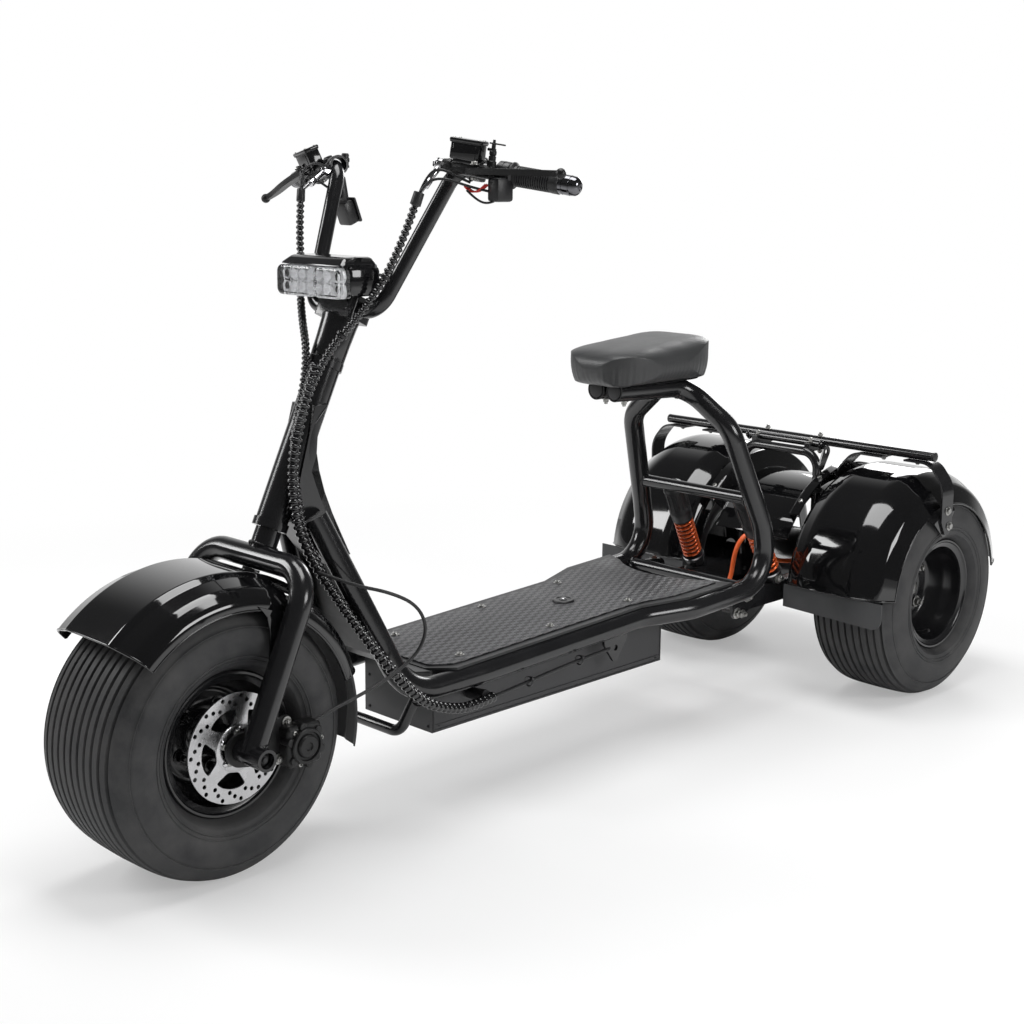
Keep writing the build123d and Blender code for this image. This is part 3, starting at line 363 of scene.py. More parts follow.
    @staticmethod
    def tube(
        name: str,
        points: Sequence[Vector],
        diameter: float,
        order: int = 3,
        resolution: int = 8,
        sides: int = 3,
    ) -> Object:
        """Round cord, cable or bent wire led by points.

        Args:
            name: The piece's name.
            points: The points that lead it.
            diameter: Its diameter.
            order: 2 for straight runs, 3 or more for a smooth line.
            resolution: Steps between two points.
            sides: Steps of a quarter turn around it.

        Returns:
            The finished tube as a mesh.
        """
        curve = Bench.path(points, order, resolution)
        curve.data.bevel_depth = diameter / 2
        curve.data.bevel_resolution = sides
        curve.data.use_fill_caps = True
        Bench.hold(curve)
        bpy.ops.object.convert(target="MESH")
        return Bench.settle(bpy.context.active_object, name, 60.0)

    @staticmethod
    def join(name: str, pieces: Sequence[Object]) -> Object:
        """Join finished pieces into one."""
        Bench.hold(*pieces)
        if len(pieces) > 1:
            bpy.ops.object.join()
        obj = bpy.context.active_object
        obj.name = obj.data.name = name
        obj.select_set(False)
        return obj

    @staticmethod
    def copies(name: str, source: Object, places: Sequence[Matrix]) -> Object:
        """One finished piece at several places, joined.

        Args:
            name: Name of the joined piece.
            source: The piece that is copied, and used up.
            places: How each copy is moved from where the source stands.

        Returns:
            The joined copies.
        """
        made = []
        for place in places:
            twin = source.copy()
            twin.data = source.data.copy()
            twin.data.transform(place)
            if place.determinant() < 0:
                twin.data.flip_normals()
            bpy.context.collection.objects.link(twin)
            made.append(twin)
        bpy.data.objects.remove(source)
        return Bench.join(name, made)

    @staticmethod
    def apply(obj: Object, kind: str, **settings: object) -> None:
        """Put one modifier on a mesh, set it and apply it."""
        modifier = obj.modifiers.new(kind.title(), kind)
        for key, value in settings.items():
            setattr(modifier, key, value)
        Bench.hold(obj)
        bpy.ops.object.modifier_apply(modifier=modifier.name)

    @staticmethod
    def along(name: str, link: Object, points: Sequence[Vector], resolution: int = 12) -> Object:
        """Repeat a link that lies along +X from the origin and bend the row along a path.

        Args:
            name: Name of the finished piece.
            link: One link, used up.
            points: The points that lead the path.
            resolution: Steps between two points.

        Returns:
            The finished piece, its ends closed.
        """
        curve = Bench.path(points, 3, resolution)
        Bench.apply(
            link, "ARRAY", fit_type="FIT_CURVE", curve=curve, use_merge_vertices=True, merge_threshold=0.0001
        )
        Bench.apply(link, "CURVE", object=curve, deform_axis="POS_X")
        bpy.data.objects.remove(curve)
        Bench.open_edges(link)
        bpy.ops.mesh.select_non_manifold()
        bpy.ops.mesh.edge_face_add()
        bpy.ops.mesh.select_all(action="SELECT")
        bpy.ops.mesh.normals_make_consistent(inside=False)
        bpy.ops.object.mode_set(mode="OBJECT")
        return Bench.settle(link, name, 60.0)


def named(obj: Object, name: str) -> Object:
    """Give a finished piece its plain name."""
    obj.name = obj.data.name = name
    return obj


def spun(centre: Vector, axis: Vector, angle: float) -> Matrix:
    """Turn about an axis through a point."""
    return Matrix.Translation(centre) @ Matrix.Rotation(angle, 4, axis) @ Matrix.Translation(-centre)


def hex_nut(name: str, seat: Vector, axis: Vector, across: float, height: float) -> Object:
    """Six-sided nut or bolt head with chamfered corners, standing on its seat."""
    axis = axis.normalized()
    nut = Bench.rod(name, seat, seat + axis * height, across / 2, sides=6)
    Bench.soften(nut, height * 0.14, segments=1)
    return Bench.settle(nut, name, 20.0)


def bolt(name: str, seat: Vector, axis: Vector, across: float, height: float, stud: float = 0.0) -> Object:
    """Bolt head on its washer, with a domed stud end where one shows."""
    axis = axis.normalized()
    washer = Bench.rod(
        name + "_washer", seat, seat + axis * height * 0.22, across * 0.72, sides=24, bevel=height * 0.05
    )
    head = hex_nut(name, seat + axis * height * 0.2, axis, across, height * 0.8)
    pieces = [head, washer]
    if stud:
        tip = seat + axis * (height + stud)
        pieces.append(Bench.rod(name + "_stud", seat, tip, across * 0.3, sides=16, bevel=across * 0.06))
    return Bench.join(name, pieces)


def socket_screw(name: str, seat: Vector, axis: Vector, diameter: float, height: float) -> Object:
    """Round-headed screw with a six-sided recess."""
    axis = axis.normalized()
    r = diameter / 2
    profile = [
        (0, r), (height * 0.55, r), (height * 0.9, r * 0.82), (height, r * 0.6), (height, r * 0.45),
        (height * 0.4, r * 0.4), (height * 0.4, 0),
    ]
    return Bench.turned(name, seat, axis, profile, steps=18)


def weld_bead(name: str, points: Sequence[Vector], width: float) -> Object:
    """Stacked ripples of a weld along a line."""
    ring = [
        (0.0, width * 0.40), (width * 0.2, width * 0.5), (width * 0.42, width * 0.5),
        (width * 0.62, width * 0.40),
    ]
    Bench.clear()
    link = Bench.link(name, ring, 8)
    return Bench.along(name, link, points, 6)


# ------------------------------------------------------------------------------------------ finishes
def feed(tree: bpy.types.NodeTree, node: bpy.types.Node, feeds: dict[object, object]) -> bpy.types.Node:
    """Link the inputs that are given an output socket and set those given a value."""
    for key, value in feeds.items():
        if isinstance(value, bpy.types.NodeSocket):
            tree.links.new(value, node.inputs[key])
        else:
            node.inputs[key].default_value = value
    return node


def shader_node(
    tree: bpy.types.NodeTree, kind: str, feeds: dict[object, object] | None = None, **settings: object,
) -> bpy.types.Node:
    """Add a shader node with its settings, then feed its inputs."""
    node = tree.nodes.new("ShaderNode" + kind)
    for setting, value in settings.items():
        setattr(node, setting, value)
    return feed(tree, node, feeds or {})


class NodeGroups:
    """Shader groups that several finishes share, each built once."""

    _built: dict[str, bpy.types.NodeTree] = {}

    @staticmethod
    def _start(
        name: str, inputs: dict[str, tuple[str, object]], outputs: dict[str, str]
    ) -> bpy.types.NodeTree:
        """Empty group with named sockets.

        Args:
            name: The group's name.
            inputs: Socket type and default value by name.
            outputs: Socket type by name.

        Returns:
            The group, with its input and output nodes in it.
        """
        group = bpy.data.node_groups.new(name, "ShaderNodeTree")
        for label, (kind, value) in inputs.items():
            socket = group.interface.new_socket(name=label, in_out="INPUT", socket_type=kind)
            if value is not None:
                socket.default_value = value
        for label, kind in outputs.items():
            group.interface.new_socket(name=label, in_out="OUTPUT", socket_type=kind)
        group.nodes.new("NodeGroupInput")
        group.nodes.new("NodeGroupOutput")
        return group

    @classmethod
    def mottle(cls) -> bpy.types.NodeTree:
        """Soft change of tone and gloss over a surface, with fine grain as a height."""
        if "mottle" in cls._built:
            return cls._built["mottle"]
        group = cls._start(
            "surface mottle",
            {
                "Vector": ("NodeSocketVector", None),
                "Colour": ("NodeSocketColor", (0.05, 0.05, 0.05, 1)),
                "Tone": ("NodeSocketColor", (0.1, 0.1, 0.1, 1)),
                "Amount": ("NodeSocketFloat", 0.3),
                "Patch Scale": ("NodeSocketFloat", 12.0),
                "Grain Scale": ("NodeSocketFloat", 500.0),
                "Low Roughness": ("NodeSocketFloat", 0.3),
                "High Roughness": ("NodeSocketFloat", 0.4),
            },
            {"Colour": "NodeSocketColor", "Roughness": "NodeSocketFloat", "Height": "NodeSocketFloat"},
        )
        nodes, links = group.nodes, group.links
        source, sink = nodes["Group Input"], nodes["Group Output"]
        patch = shader_node(
            group, "TexNoise",
            {
                "Detail": 5.0, "Roughness": 0.6, "Vector": source.outputs["Vector"],
                "Scale": source.outputs["Patch Scale"],
            },
        )
        spread = shader_node(
            group, "MapRange", {"From Min": 0.35, "From Max": 0.68, "Value": patch.outputs["Fac"]}
        )
        share = shader_node(
            group, "Math", {0: spread.outputs["Result"], 1: source.outputs["Amount"]}, operation="MULTIPLY"
        )
        tint = shader_node(
            group, "Mix",
            {"Factor": share.outputs[0], "A": source.outputs["Colour"], "B": source.outputs["Tone"]},
            data_type="RGBA",
        )
        links.new(tint.outputs["Result"], sink.inputs["Colour"])
        gloss = shader_node(
            group, "Mix",
            {
                "Factor": spread.outputs["Result"], "A": source.outputs["Low Roughness"],
                "B": source.outputs["High Roughness"],
            },
        )
        links.new(gloss.outputs["Result"], sink.inputs["Roughness"])
        grain = shader_node(
            group, "TexNoise",
            {"Detail": 3.0, "Vector": source.outputs["Vector"], "Scale": source.outputs["Grain Scale"]},
        )
        links.new(grain.outputs["Fac"], sink.inputs["Height"])
        cls._built["mottle"] = group
        return group

    @classmethod
    def dust(cls) -> bpy.types.NodeTree:
        """Mask of settled dust: more where the surface looks up, broken by noise."""
        if "dust" in cls._built:
            return cls._built["dust"]
        group = cls._start(
            "settled dust",
            {
                "Vector": ("NodeSocketVector", None),
                "Normal": ("NodeSocketVector", None),
                "Colour": ("NodeSocketColor", (0.05, 0.05, 0.05, 1)),
                "Dust": ("NodeSocketColor", (0.3, 0.29, 0.27, 1)),
                "Amount": ("NodeSocketFloat", 0.1),
            },
            {"Colour": "NodeSocketColor"},
        )
        nodes, links = group.nodes, group.links
        source, sink = nodes["Group Input"], nodes["Group Output"]
        split = shader_node(group, "SeparateXYZ", {0: source.outputs["Normal"]})
        upward = shader_node(group, "MapRange", {"From Min": -0.2, "Value": split.outputs["Z"]})
        cloud = shader_node(
            group, "TexNoise", {"Scale": 60.0, "Detail": 8.0, "Vector": source.outputs["Vector"]}
        )
        fall = shader_node(
            group, "Math", {0: upward.outputs["Result"], 1: cloud.outputs["Fac"]}, operation="MULTIPLY"
        )
        share = shader_node(
            group, "Math", {0: fall.outputs[0], 1: source.outputs["Amount"]}, operation="MULTIPLY"
        )
        tint = shader_node(
            group, "Mix",
            {"Factor": share.outputs[0], "A": source.outputs["Colour"], "B": source.outputs["Dust"]},
            data_type="RGBA",
        )
        links.new(tint.outputs["Result"], sink.inputs["Colour"])
        cls._built["dust"] = group
        return group


@dataclass(frozen=True)
class Finish:
    """One paint, metal, rubber or plastic of the machine."""

    name: str
    colour: Point
    tone: Point
    roughness: tuple[float, float]
    metallic: float = 0.0
    coat: float = 0.0
    coat_roughness: float = 0.03
    specular: float = 0.5
    mottle: float = 0.4
    patch_scale: float = 9.0
    grain: float = 0.0
    grain_depth: float = 0.0003
    grain_scale: float = 700.0
    dust: float = 0.0
    stretch: Point = (1.0, 1.0, 1.0)

    def build(self) -> Material:
        """Make the material with its own values in the shared groups.

        Returns:
            The finished material.
        """
        made = bpy.data.materials.new(self.name)
        made.use_nodes = True
        tree = made.node_tree
        nodes, links = tree.nodes, tree.links
        shader = nodes["Principled BSDF"]
        feed(
            tree, shader,
            {
                "Metallic": self.metallic, "Coat Weight": self.coat, "Coat Roughness": self.coat_roughness,
                "Specular IOR Level": self.specular,
            },
        )
        place = shader_node(tree, "TexCoord")
        scale = shader_node(tree, "Mapping", {"Scale": self.stretch, "Vector": place.outputs["Object"]})
        mottle = shader_node(
            tree, "Group",
            {
                "Colour": (*self.colour, 1), "Tone": (*self.tone, 1), "Amount": self.mottle,
                "Patch Scale": self.patch_scale, "Grain Scale": self.grain_scale,
                "Low Roughness": self.roughness[0], "High Roughness": self.roughness[1],
                "Vector": scale.outputs["Vector"],
            },
            node_tree=NodeGroups.mottle(),
        )
        links.new(mottle.outputs["Roughness"], shader.inputs["Roughness"])
        colour = mottle.outputs["Colour"]
        if self.dust:
            dust = shader_node(tree, "Group", {"Amount": self.dust}, node_tree=NodeGroups.dust())
            around = shader_node(tree, "NewGeometry")
            feed(
                tree, dust,
                {"Vector": place.outputs["Object"], "Normal": around.outputs["Normal"], "Colour": colour},
            )
            colour = dust.outputs["Colour"]
        links.new(colour, shader.inputs["Base Color"])
        if self.grain:
            bump = shader_node(
                tree, "Bump",
                {"Strength": self.grain, "Distance": self.grain_depth, "Height": mottle.outputs["Height"]},
            )
            links.new(bump.outputs["Normal"], shader.inputs["Normal"])
        return made


@dataclass(frozen=True)
class Grained(Finish):
    """Vinyl: the shared mottle with a pebbled grain over it."""

    pebble_scale: float = 420.0
    pebble_depth: float = 0.0004

    def build(self) -> Material:
        """Make the material and lay pebbles over its grain.

        Returns:
            The finished material.
        """
        made = Finish.build(self)
        tree = made.node_tree
        nodes, links = tree.nodes, tree.links
        pebbles = shader_node(
            tree, "TexVoronoi",
            {"Scale": self.pebble_scale, "Vector": nodes["Texture Coordinate"].outputs["Object"]},
        )
        bump = shader_node(
            tree, "Bump",
            {"Strength": 0.5, "Distance": self.pebble_depth, "Height": pebbles.outputs["Distance"]},
        )
        links.new(bump.outputs["Normal"], nodes["Principled BSDF"].inputs["Normal"])
        return made


@dataclass(frozen=True)
class WovenMat(Finish):
    """Deck mat: blocks of cords that cross each other, light and dark by turns."""

    block: float = 0.0088
    cords: float = 4.0
    depth: float = 0.0009
    light: Point = (0.085, 0.085, 0.089)

    def build(self) -> Material:
        """Make the material with its woven relief and tones.

        Returns:
            The finished material.
        """
        made = Finish.build(self)
        tree = made.node_tree
        nodes, links = tree.nodes, tree.links
        shader = nodes["Principled BSDF"]
        place = nodes["Texture Coordinate"].outputs["Object"]
        turn = shader_node(
            tree, "Mapping", {"Scale": (0.5 / self.block, 1.0 / self.block, 0.0), "Vector": place}
        )
        blocks = shader_node(tree, "TexChecker", {"Scale": 1.0, "Vector": turn.outputs["Vector"]})
        waves = []
        for direction in ("X", "Y"):
            wave = shader_node(
                tree, "TexWave", {"Scale": self.cords / 2 / self.block / 10.0 * pi, "Vector": place},
                wave_type="BANDS", bands_direction=direction,
            )
            waves.append(wave)
        relief = shader_node(
            tree, "Mix",
            {"Factor": blocks.outputs["Fac"], "A": waves[0].outputs["Fac"], "B": waves[1].outputs["Fac"]},
        )
        bump = shader_node(
            tree, "Bump", {"Strength": 0.6, "Distance": self.depth, "Height": relief.outputs["Result"]}
        )
        links.new(bump.outputs["Normal"], shader.inputs["Normal"])
        tone = shader_node(tree, "Mix", data_type="RGBA")
        base = shader.inputs["Base Color"].links[0].from_socket
        feed(tree, tone, {"Factor": blocks.outputs["Fac"], "A": base, "B": (*self.light, 1)})
        links.new(tone.outputs["Result"], shader.inputs["Base Color"])
        return made


@dataclass(frozen=True)
class ClearMoulding:
    """Clear or tinted moulded lens."""

    name: str
    colour: Point
    roughness: float = 0.03
    ior: float = 1.49
    transmission: float = 1.0
    flute_scale: float = 120.0
    flute_strength: float = 0.25

    def build(self) -> Material:
        """Make the material, faintly uneven as moulded plastic is.

        Returns:
            The finished material.
        """
        made = bpy.data.materials.new(self.name)
        made.use_nodes = True
        tree = made.node_tree
        nodes, links = tree.nodes, tree.links
        shader = nodes["Principled BSDF"]
        feed(
            tree, shader,
            {
                "Base Color": (*self.colour, 1), "Roughness": self.roughness, "IOR": self.ior,
                "Transmission Weight": self.transmission,
            },
        )
        place = shader_node(tree, "TexCoord")
        flow = shader_node(tree, "TexNoise", {"Scale": self.flute_scale, "Vector": place.outputs["Object"]})
        bump = shader_node(
            tree, "Bump", {"Strength": self.flute_strength, "Distance": 0.002, "Height": flow.outputs["Fac"]}
        )
        links.new(bump.outputs["Normal"], shader.inputs["Normal"])
        return made


class Look(Enum):
    """Every finish of the machine."""

    GLOSS_BLACK = Finish(
        "gloss black enamel", (0.003, 0.003, 0.0034), (0.006, 0.006, 0.0065), (0.05, 0.09), coat=0.6,
        specular=0.45, grain=0.05, grain_scale=30,
    )
    FRAME_BLACK = Finish(
        "black powder coat", (0.007, 0.007, 0.0078), (0.012, 0.012, 0.013), (0.15, 0.23), specular=0.65,
        grain=0.2, grain_scale=900, grain_depth=0.0002,
    )
    PLATE_BLACK = Finish(
        "black coated plate", (0.012, 0.012, 0.013), (0.02, 0.02, 0.021), (0.38, 0.5), grain=0.3,
        grain_scale=900,
    )
    CASE_GREY = Finish(
        "dark grey case paint", (0.03, 0.03, 0.032), (0.042, 0.042, 0.044), (0.42, 0.55), grain=0.4,
        grain_scale=800, dust=0.05,
    )
    TYRE = Finish(
        "tyre rubber", (0.020, 0.0206, 0.0222), (0.064, 0.063, 0.063), (0.55, 0.75), specular=0.4, mottle=0.8,
        patch_scale=13, grain=0.6, grain_scale=520, grain_depth=0.0006, dust=0.06,
    )
    FLAP = Finish(
        "flap rubber", (0.045, 0.046, 0.048), (0.07, 0.07, 0.071), (0.5, 0.62), specular=0.4, grain=0.3
    )
    RUBBER = Finish(
        "soft black rubber", (0.011, 0.011, 0.012), (0.022, 0.022, 0.022), (0.42, 0.55), grain=0.4
    )
    PLASTIC = Finish(
        "black moulded plastic", (0.009, 0.009, 0.01), (0.015, 0.015, 0.016), (0.3, 0.42), grain=0.4,
        grain_scale=1100,
    )
    GLOSS_PLASTIC = Finish(
        "gloss black plastic", (0.004, 0.004, 0.0045), (0.008, 0.008, 0.009), (0.08, 0.13), coat=0.4,
        grain=0.08, grain_scale=60,
    )
    CONDUIT = Finish(
        "gloss black conduit", (0.004, 0.004, 0.0045), (0.009, 0.009, 0.01), (0.10, 0.16), coat=0.8,
        grain=0.05,
    )
    CAST = Finish(
        "black cast aluminium", (0.012, 0.012, 0.0125), (0.02, 0.02, 0.02), (0.32, 0.45), metallic=0.35,
        grain=0.7, grain_scale=1500, grain_depth=0.0003,
    )
    STEEL = Finish(
        "brushed steel", (0.55, 0.55, 0.56), (0.42, 0.42, 0.43), (0.22, 0.34), metallic=1.0, patch_scale=30,
        grain=0.25, grain_scale=600,
    )
    ZINC = Finish(
        "zinc plated steel", (0.42, 0.42, 0.41), (0.3, 0.29, 0.26), (0.28, 0.42), metallic=1.0, patch_scale=60
    )
    CHROME = Finish("chrome", (0.6, 0.6, 0.61), (0.5, 0.5, 0.52), (0.04, 0.08), metallic=1.0)
    DARK_CHROME = Finish("dark chrome", (0.16, 0.16, 0.17), (0.1, 0.1, 0.11), (0.06, 0.12), metallic=1.0)
    VINYL = Grained("seat vinyl", (0.03, 0.031, 0.032), (0.045, 0.045, 0.046), (0.36, 0.46), specular=0.5)
    MAT = WovenMat("woven deck mat", (0.026, 0.026, 0.028), (0.038, 0.038, 0.04), (0.4, 0.52), specular=0.4)
    SPRING = Finish(
        "orange spring coat", (0.72, 0.12, 0.02), (0.5, 0.07, 0.015), (0.14, 0.24), metallic=0.55, coat=0.6
    )
    ORANGE_LEAD = Finish("orange insulation", (0.82, 0.13, 0.02), (0.7, 0.1, 0.02), (0.35, 0.45))
    RED_WIRE = Finish("red insulation", (0.55, 0.02, 0.015), (0.4, 0.015, 0.01), (0.35, 0.45))
    CELL = Finish("cell wrap", (0.1, 0.16, 0.3), (0.12, 0.18, 0.32), (0.4, 0.5))
    # Lamp reflectors: near-white diffuse paint in place of their mirror finish, a painted reflection of the
    # bright studio.
    REFLECTOR = Finish("lamp reflector, painted reflection", (0.97, 0.97, 0.98), (0.9, 0.9, 0.92), (0.12, 0.25), specular=1.0)
    CLEAR = ClearMoulding("clear lens", (0.96, 0.97, 0.98))
    RED_LENS = ClearMoulding("red lens", (0.75, 0.012, 0.01), roughness=0.06, transmission=0.55)


class Paintbox:
    """Builds each finish once and lays it on pieces."""

    def __init__(self) -> None:
        """Start with no finish built."""
        self._built: dict[Look, Material] = {}

    def coat(self, obj: Object, look: Look) -> Object:
        """Lay one finish on a whole piece."""
        if look not in self._built:
            self._built[look] = look.value.build()
        obj.data.materials.clear()
        obj.data.materials.append(self._built[look])
        return obj


@dataclass
class Assembly:
    """What every sub-assembly holds: the layout, the finishes and the list of its pieces."""

    layout: Layout
    paint: Paintbox

    def fit(self, obj: Object, look: Look, body: Body, *stands_for: str) -> Object:
        """Finish a piece and hang it on its body.

        Args:
            obj: The finished mesh.
            look: Its finish.
            body: The body that it rides on.
            stands_for: Plain solids that it is shown instead of.

        Returns:
            The same object.
        """
        self.paint.coat(obj, look)
        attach(obj, body.value)
        if stands_for:
            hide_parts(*stands_for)
        log.info("%s: %d faces", obj.name, len(obj.data.polygons))
        return obj

    def group(self, name: str, pieces: Sequence[Object], look: Look, body: Body, *stands_for: str) -> Object:
        """Join pieces into one, finish it and hang it on its body."""
        return self.fit(Bench.join(name, pieces), look, body, *stands_for)


# -------------------------------------------------------------------------------------------- studio
@dataclass
class Studio:
    """Pale floor, soft boxes and the camera."""

    layout: Layout
    camera_place: Point = (3.1109, 2.1463, 1.1358)
    yaw_deg: float = -135.22
    pitch_deg: float = 12.0
    roll_deg: float = 0.61
    lens_mm: float = 57.776
    floor_half: float = 14.0
    floor_colour: Point = (0.86, 0.86, 0.86)
    fade_start: float = 1.25
    fade_end: float = 2.6
    fade_floor: float = 0.35
    soft_light: float = 0.42
    mirror_dark: float = 0.09
    mirror_bright: float = 0.95
    mirror_from: float = 0.55
    mirror_full: float = 0.96

    def camera(self) -> None:
        """Place the camera at its viewing angle."""
        yaw, pitch, roll = radians(self.yaw_deg), radians(self.pitch_deg), radians(self.roll_deg)
        ahead = Vector((cos(yaw) * cos(pitch), sin(yaw) * cos(pitch), -sin(pitch)))
        right = Vector((sin(yaw), -cos(yaw), 0.0))
        up = right.cross(ahead)
        right, up = right * cos(roll) + up * sin(roll), up * cos(roll) - right * sin(roll)
        bpy.ops.object.camera_add()
        camera = bpy.context.active_object
        camera.name = "camera"
        turn = Matrix((right, up, -ahead)).transposed().to_4x4()
        camera.matrix_world = Matrix.Translation(self.layout.at(*self.camera_place)) @ turn
        camera.data.lens = self.lens_mm
        camera.data.sensor_width = 36.0
        camera.data.clip_end = 100.0
        bpy.context.scene.camera = camera

    def floor(self) -> None:
        """Lay the pale floor."""
        Bench.clear()
        bpy.ops.mesh.primitive_plane_add(size=2 * self.floor_half, location=(0, 0, -0.0005))
        floor = bpy.context.active_object
        bpy.ops.object.mode_set(mode="EDIT")
        bpy.ops.mesh.subdivide(number_cuts=3)
        bpy.ops.object.mode_set(mode="OBJECT")
        Bench.settle(floor, "floor")
        made = bpy.data.materials.new("floor paper")
        made.use_nodes = True
        shader = made.node_tree.nodes["Principled BSDF"]
        shader.inputs["Base Color"].default_value = (*self.floor_colour, 1)
        shader.inputs["Roughness"].default_value = 0.9
        shader.inputs["Specular IOR Level"].default_value = 0.1
        self.fade(made)
        floor.data.materials.append(made)

    def fade(self, paper: Material) -> None:
        """Let the seen floor turn white away from the machine, so that it has no horizon."""
        tree = paper.node_tree
        nodes, links = tree.nodes, tree.links
        place = shader_node(tree, "TexCoord")
        span = shader_node(tree, "VectorMath", {0: place.outputs["Object"]}, operation="LENGTH")
        share = shader_node(
            tree, "MapRange",
            {
                "From Min": self.fade_start, "From Max": self.fade_end, "To Min": self.fade_floor,
                "Value": span.outputs["Value"],
            },
            interpolation_type="SMOOTHSTEP",
        )
        seen = shader_node(tree, "LightPath")
        both = shader_node(
            tree, "Math", {0: share.outputs["Result"], 1: seen.outputs["Is Camera Ray"]}, operation="MULTIPLY"
        )
        white = shader_node(tree, "Emission")
        mix = shader_node(
            tree, "MixShader",
            {0: both.outputs["Value"], 1: nodes["Principled BSDF"].outputs[0], 2: white.outputs[0]},
        )
        links.new(mix.outputs[0], nodes["Material Output"].inputs["Surface"])

    def sky(self) -> None:
        """White surroundings for the camera, softer ones for the light, bright behind for mirrors."""
        world = bpy.data.worlds.new("studio")
        bpy.context.scene.world = world
        world.use_nodes = True
        tree = world.node_tree
        nodes, links = tree.nodes, tree.links
        nodes.clear()
        seen = shader_node(tree, "LightPath")
        white = shader_node(tree, "Background", {"Color": (1, 1, 1, 1)})
        dim = shader_node(tree, "Background", {"Color": (1, 1, 1, 1), "Strength": self.soft_light})
        mirror = shader_node(tree, "Background", {"Color": (1, 1, 1, 1)})
        heading = shader_node(tree, "TexCoord")
        away = shader_node(
            tree, "VectorMath",
            {
                1: (cos(radians(self.yaw_deg)), sin(radians(self.yaw_deg)), 0.0),
                0: heading.outputs["Generated"],
            },
            operation="DOT_PRODUCT",
        )
        ramp = shader_node(
            tree, "MapRange",
            {
                "From Min": self.mirror_from, "From Max": self.mirror_full, "To Min": self.mirror_dark,
                "To Max": self.mirror_bright, "Value": away.outputs["Value"],
            },
            interpolation_type="SMOOTHSTEP",
        )
        links.new(ramp.outputs["Result"], mirror.inputs["Strength"])
        clear = shader_node(
            tree, "Math", {0: seen.outputs["Is Camera Ray"], 1: seen.outputs["Is Transmission Ray"]},
            operation="MAXIMUM",
        )
        glossy = shader_node(
            tree, "MixShader", {0: seen.outputs["Is Glossy Ray"], 1: dim.outputs[0], 2: mirror.outputs[0]}
        )
        mix = shader_node(tree, "MixShader", {0: clear.outputs[0], 1: glossy.outputs[0], 2: white.outputs[0]})
        shader_node(tree, "OutputWorld", {"Surface": mix.outputs[0]})

    def soft_box(self, name: str, place: Point, aim: Point, size: tuple[float, float], power: float) -> None:
        """One large lamp turned to the machine.

        Args:
            name: The lamp's name.
            place: Where it stands.
            aim: The point it faces.
            size: Its width and height.
            power: Its power in watts.
        """
        bpy.ops.object.light_add(type="AREA", location=place)
        lamp = bpy.context.active_object
        lamp.name = name
        lamp.rotation_euler = (Vector(aim) - Vector(place)).to_track_quat("-Z", "Y").to_euler()
        lamp.data.shape = "RECTANGLE"
        lamp.data.size, lamp.data.size_y = size
        lamp.data.energy = power

    def build(self) -> None:
        """Set up the whole studio."""
        view = bpy.context.scene.view_settings
        view.view_transform = "Standard"
        self.camera()
        self.floor()
        self.sky()
        self.soft_box("overhead", (0.2, 0.0, 3.6), (0.0, 0.0, 0.4), (2.6, 1.5), 75)
        self.soft_box("key", (2.4, -2.6, 2.4), (0.1, 0.0, 0.4), (1.0, 1.8), 55)
        self.soft_box("side", (-0.6, 3.6, 1.9), (-0.1, 0.0, 0.4), (1.6, 1.2), 50)
        self.soft_box("rear", (-3.4, -1.2, 2.0), (-0.4, 0.0, 0.5), (1.2, 1.6), 40)
        log.info("studio set up")


# -------------------------------------------------------------------------------------------- wheels
def rounded_profile(profile: Profile, passes: int = 2) -> list[tuple[float, float]]:
    """Cut the corners of an open profile so that it turns smoothly.

    Args:
        profile: Points of the profile, its ends kept.
        passes: How often the corners are cut.

    Returns:
        The smoother profile, which stays inside the first one's corners.
    """
    points = list(profile)
    for _ in range(passes):
        cut = [points[0]]
        for (x0, r0), (x1, r1) in zip(points, points[1:]):
            cut.append((x0 * 0.75 + x1 * 0.25, r0 * 0.75 + r1 * 0.25))
            cut.append((x0 * 0.25 + x1 * 0.75, r0 * 0.25 + r1 * 0.75))
        cut.append(points[-1])
        points = cut
    return points


def radius_at(profile: Profile, along: float) -> float:
    """Radius of a profile at a place along its axis, between its two nearest points."""
    for (x0, r0), (x1, r1) in zip(profile, profile[1:]):
        if x0 <= along <= x1:
            return r0 + (r1 - r0) * (along - x0) / max(x1 - x0, 1e-9)
    return profile[-1][1]


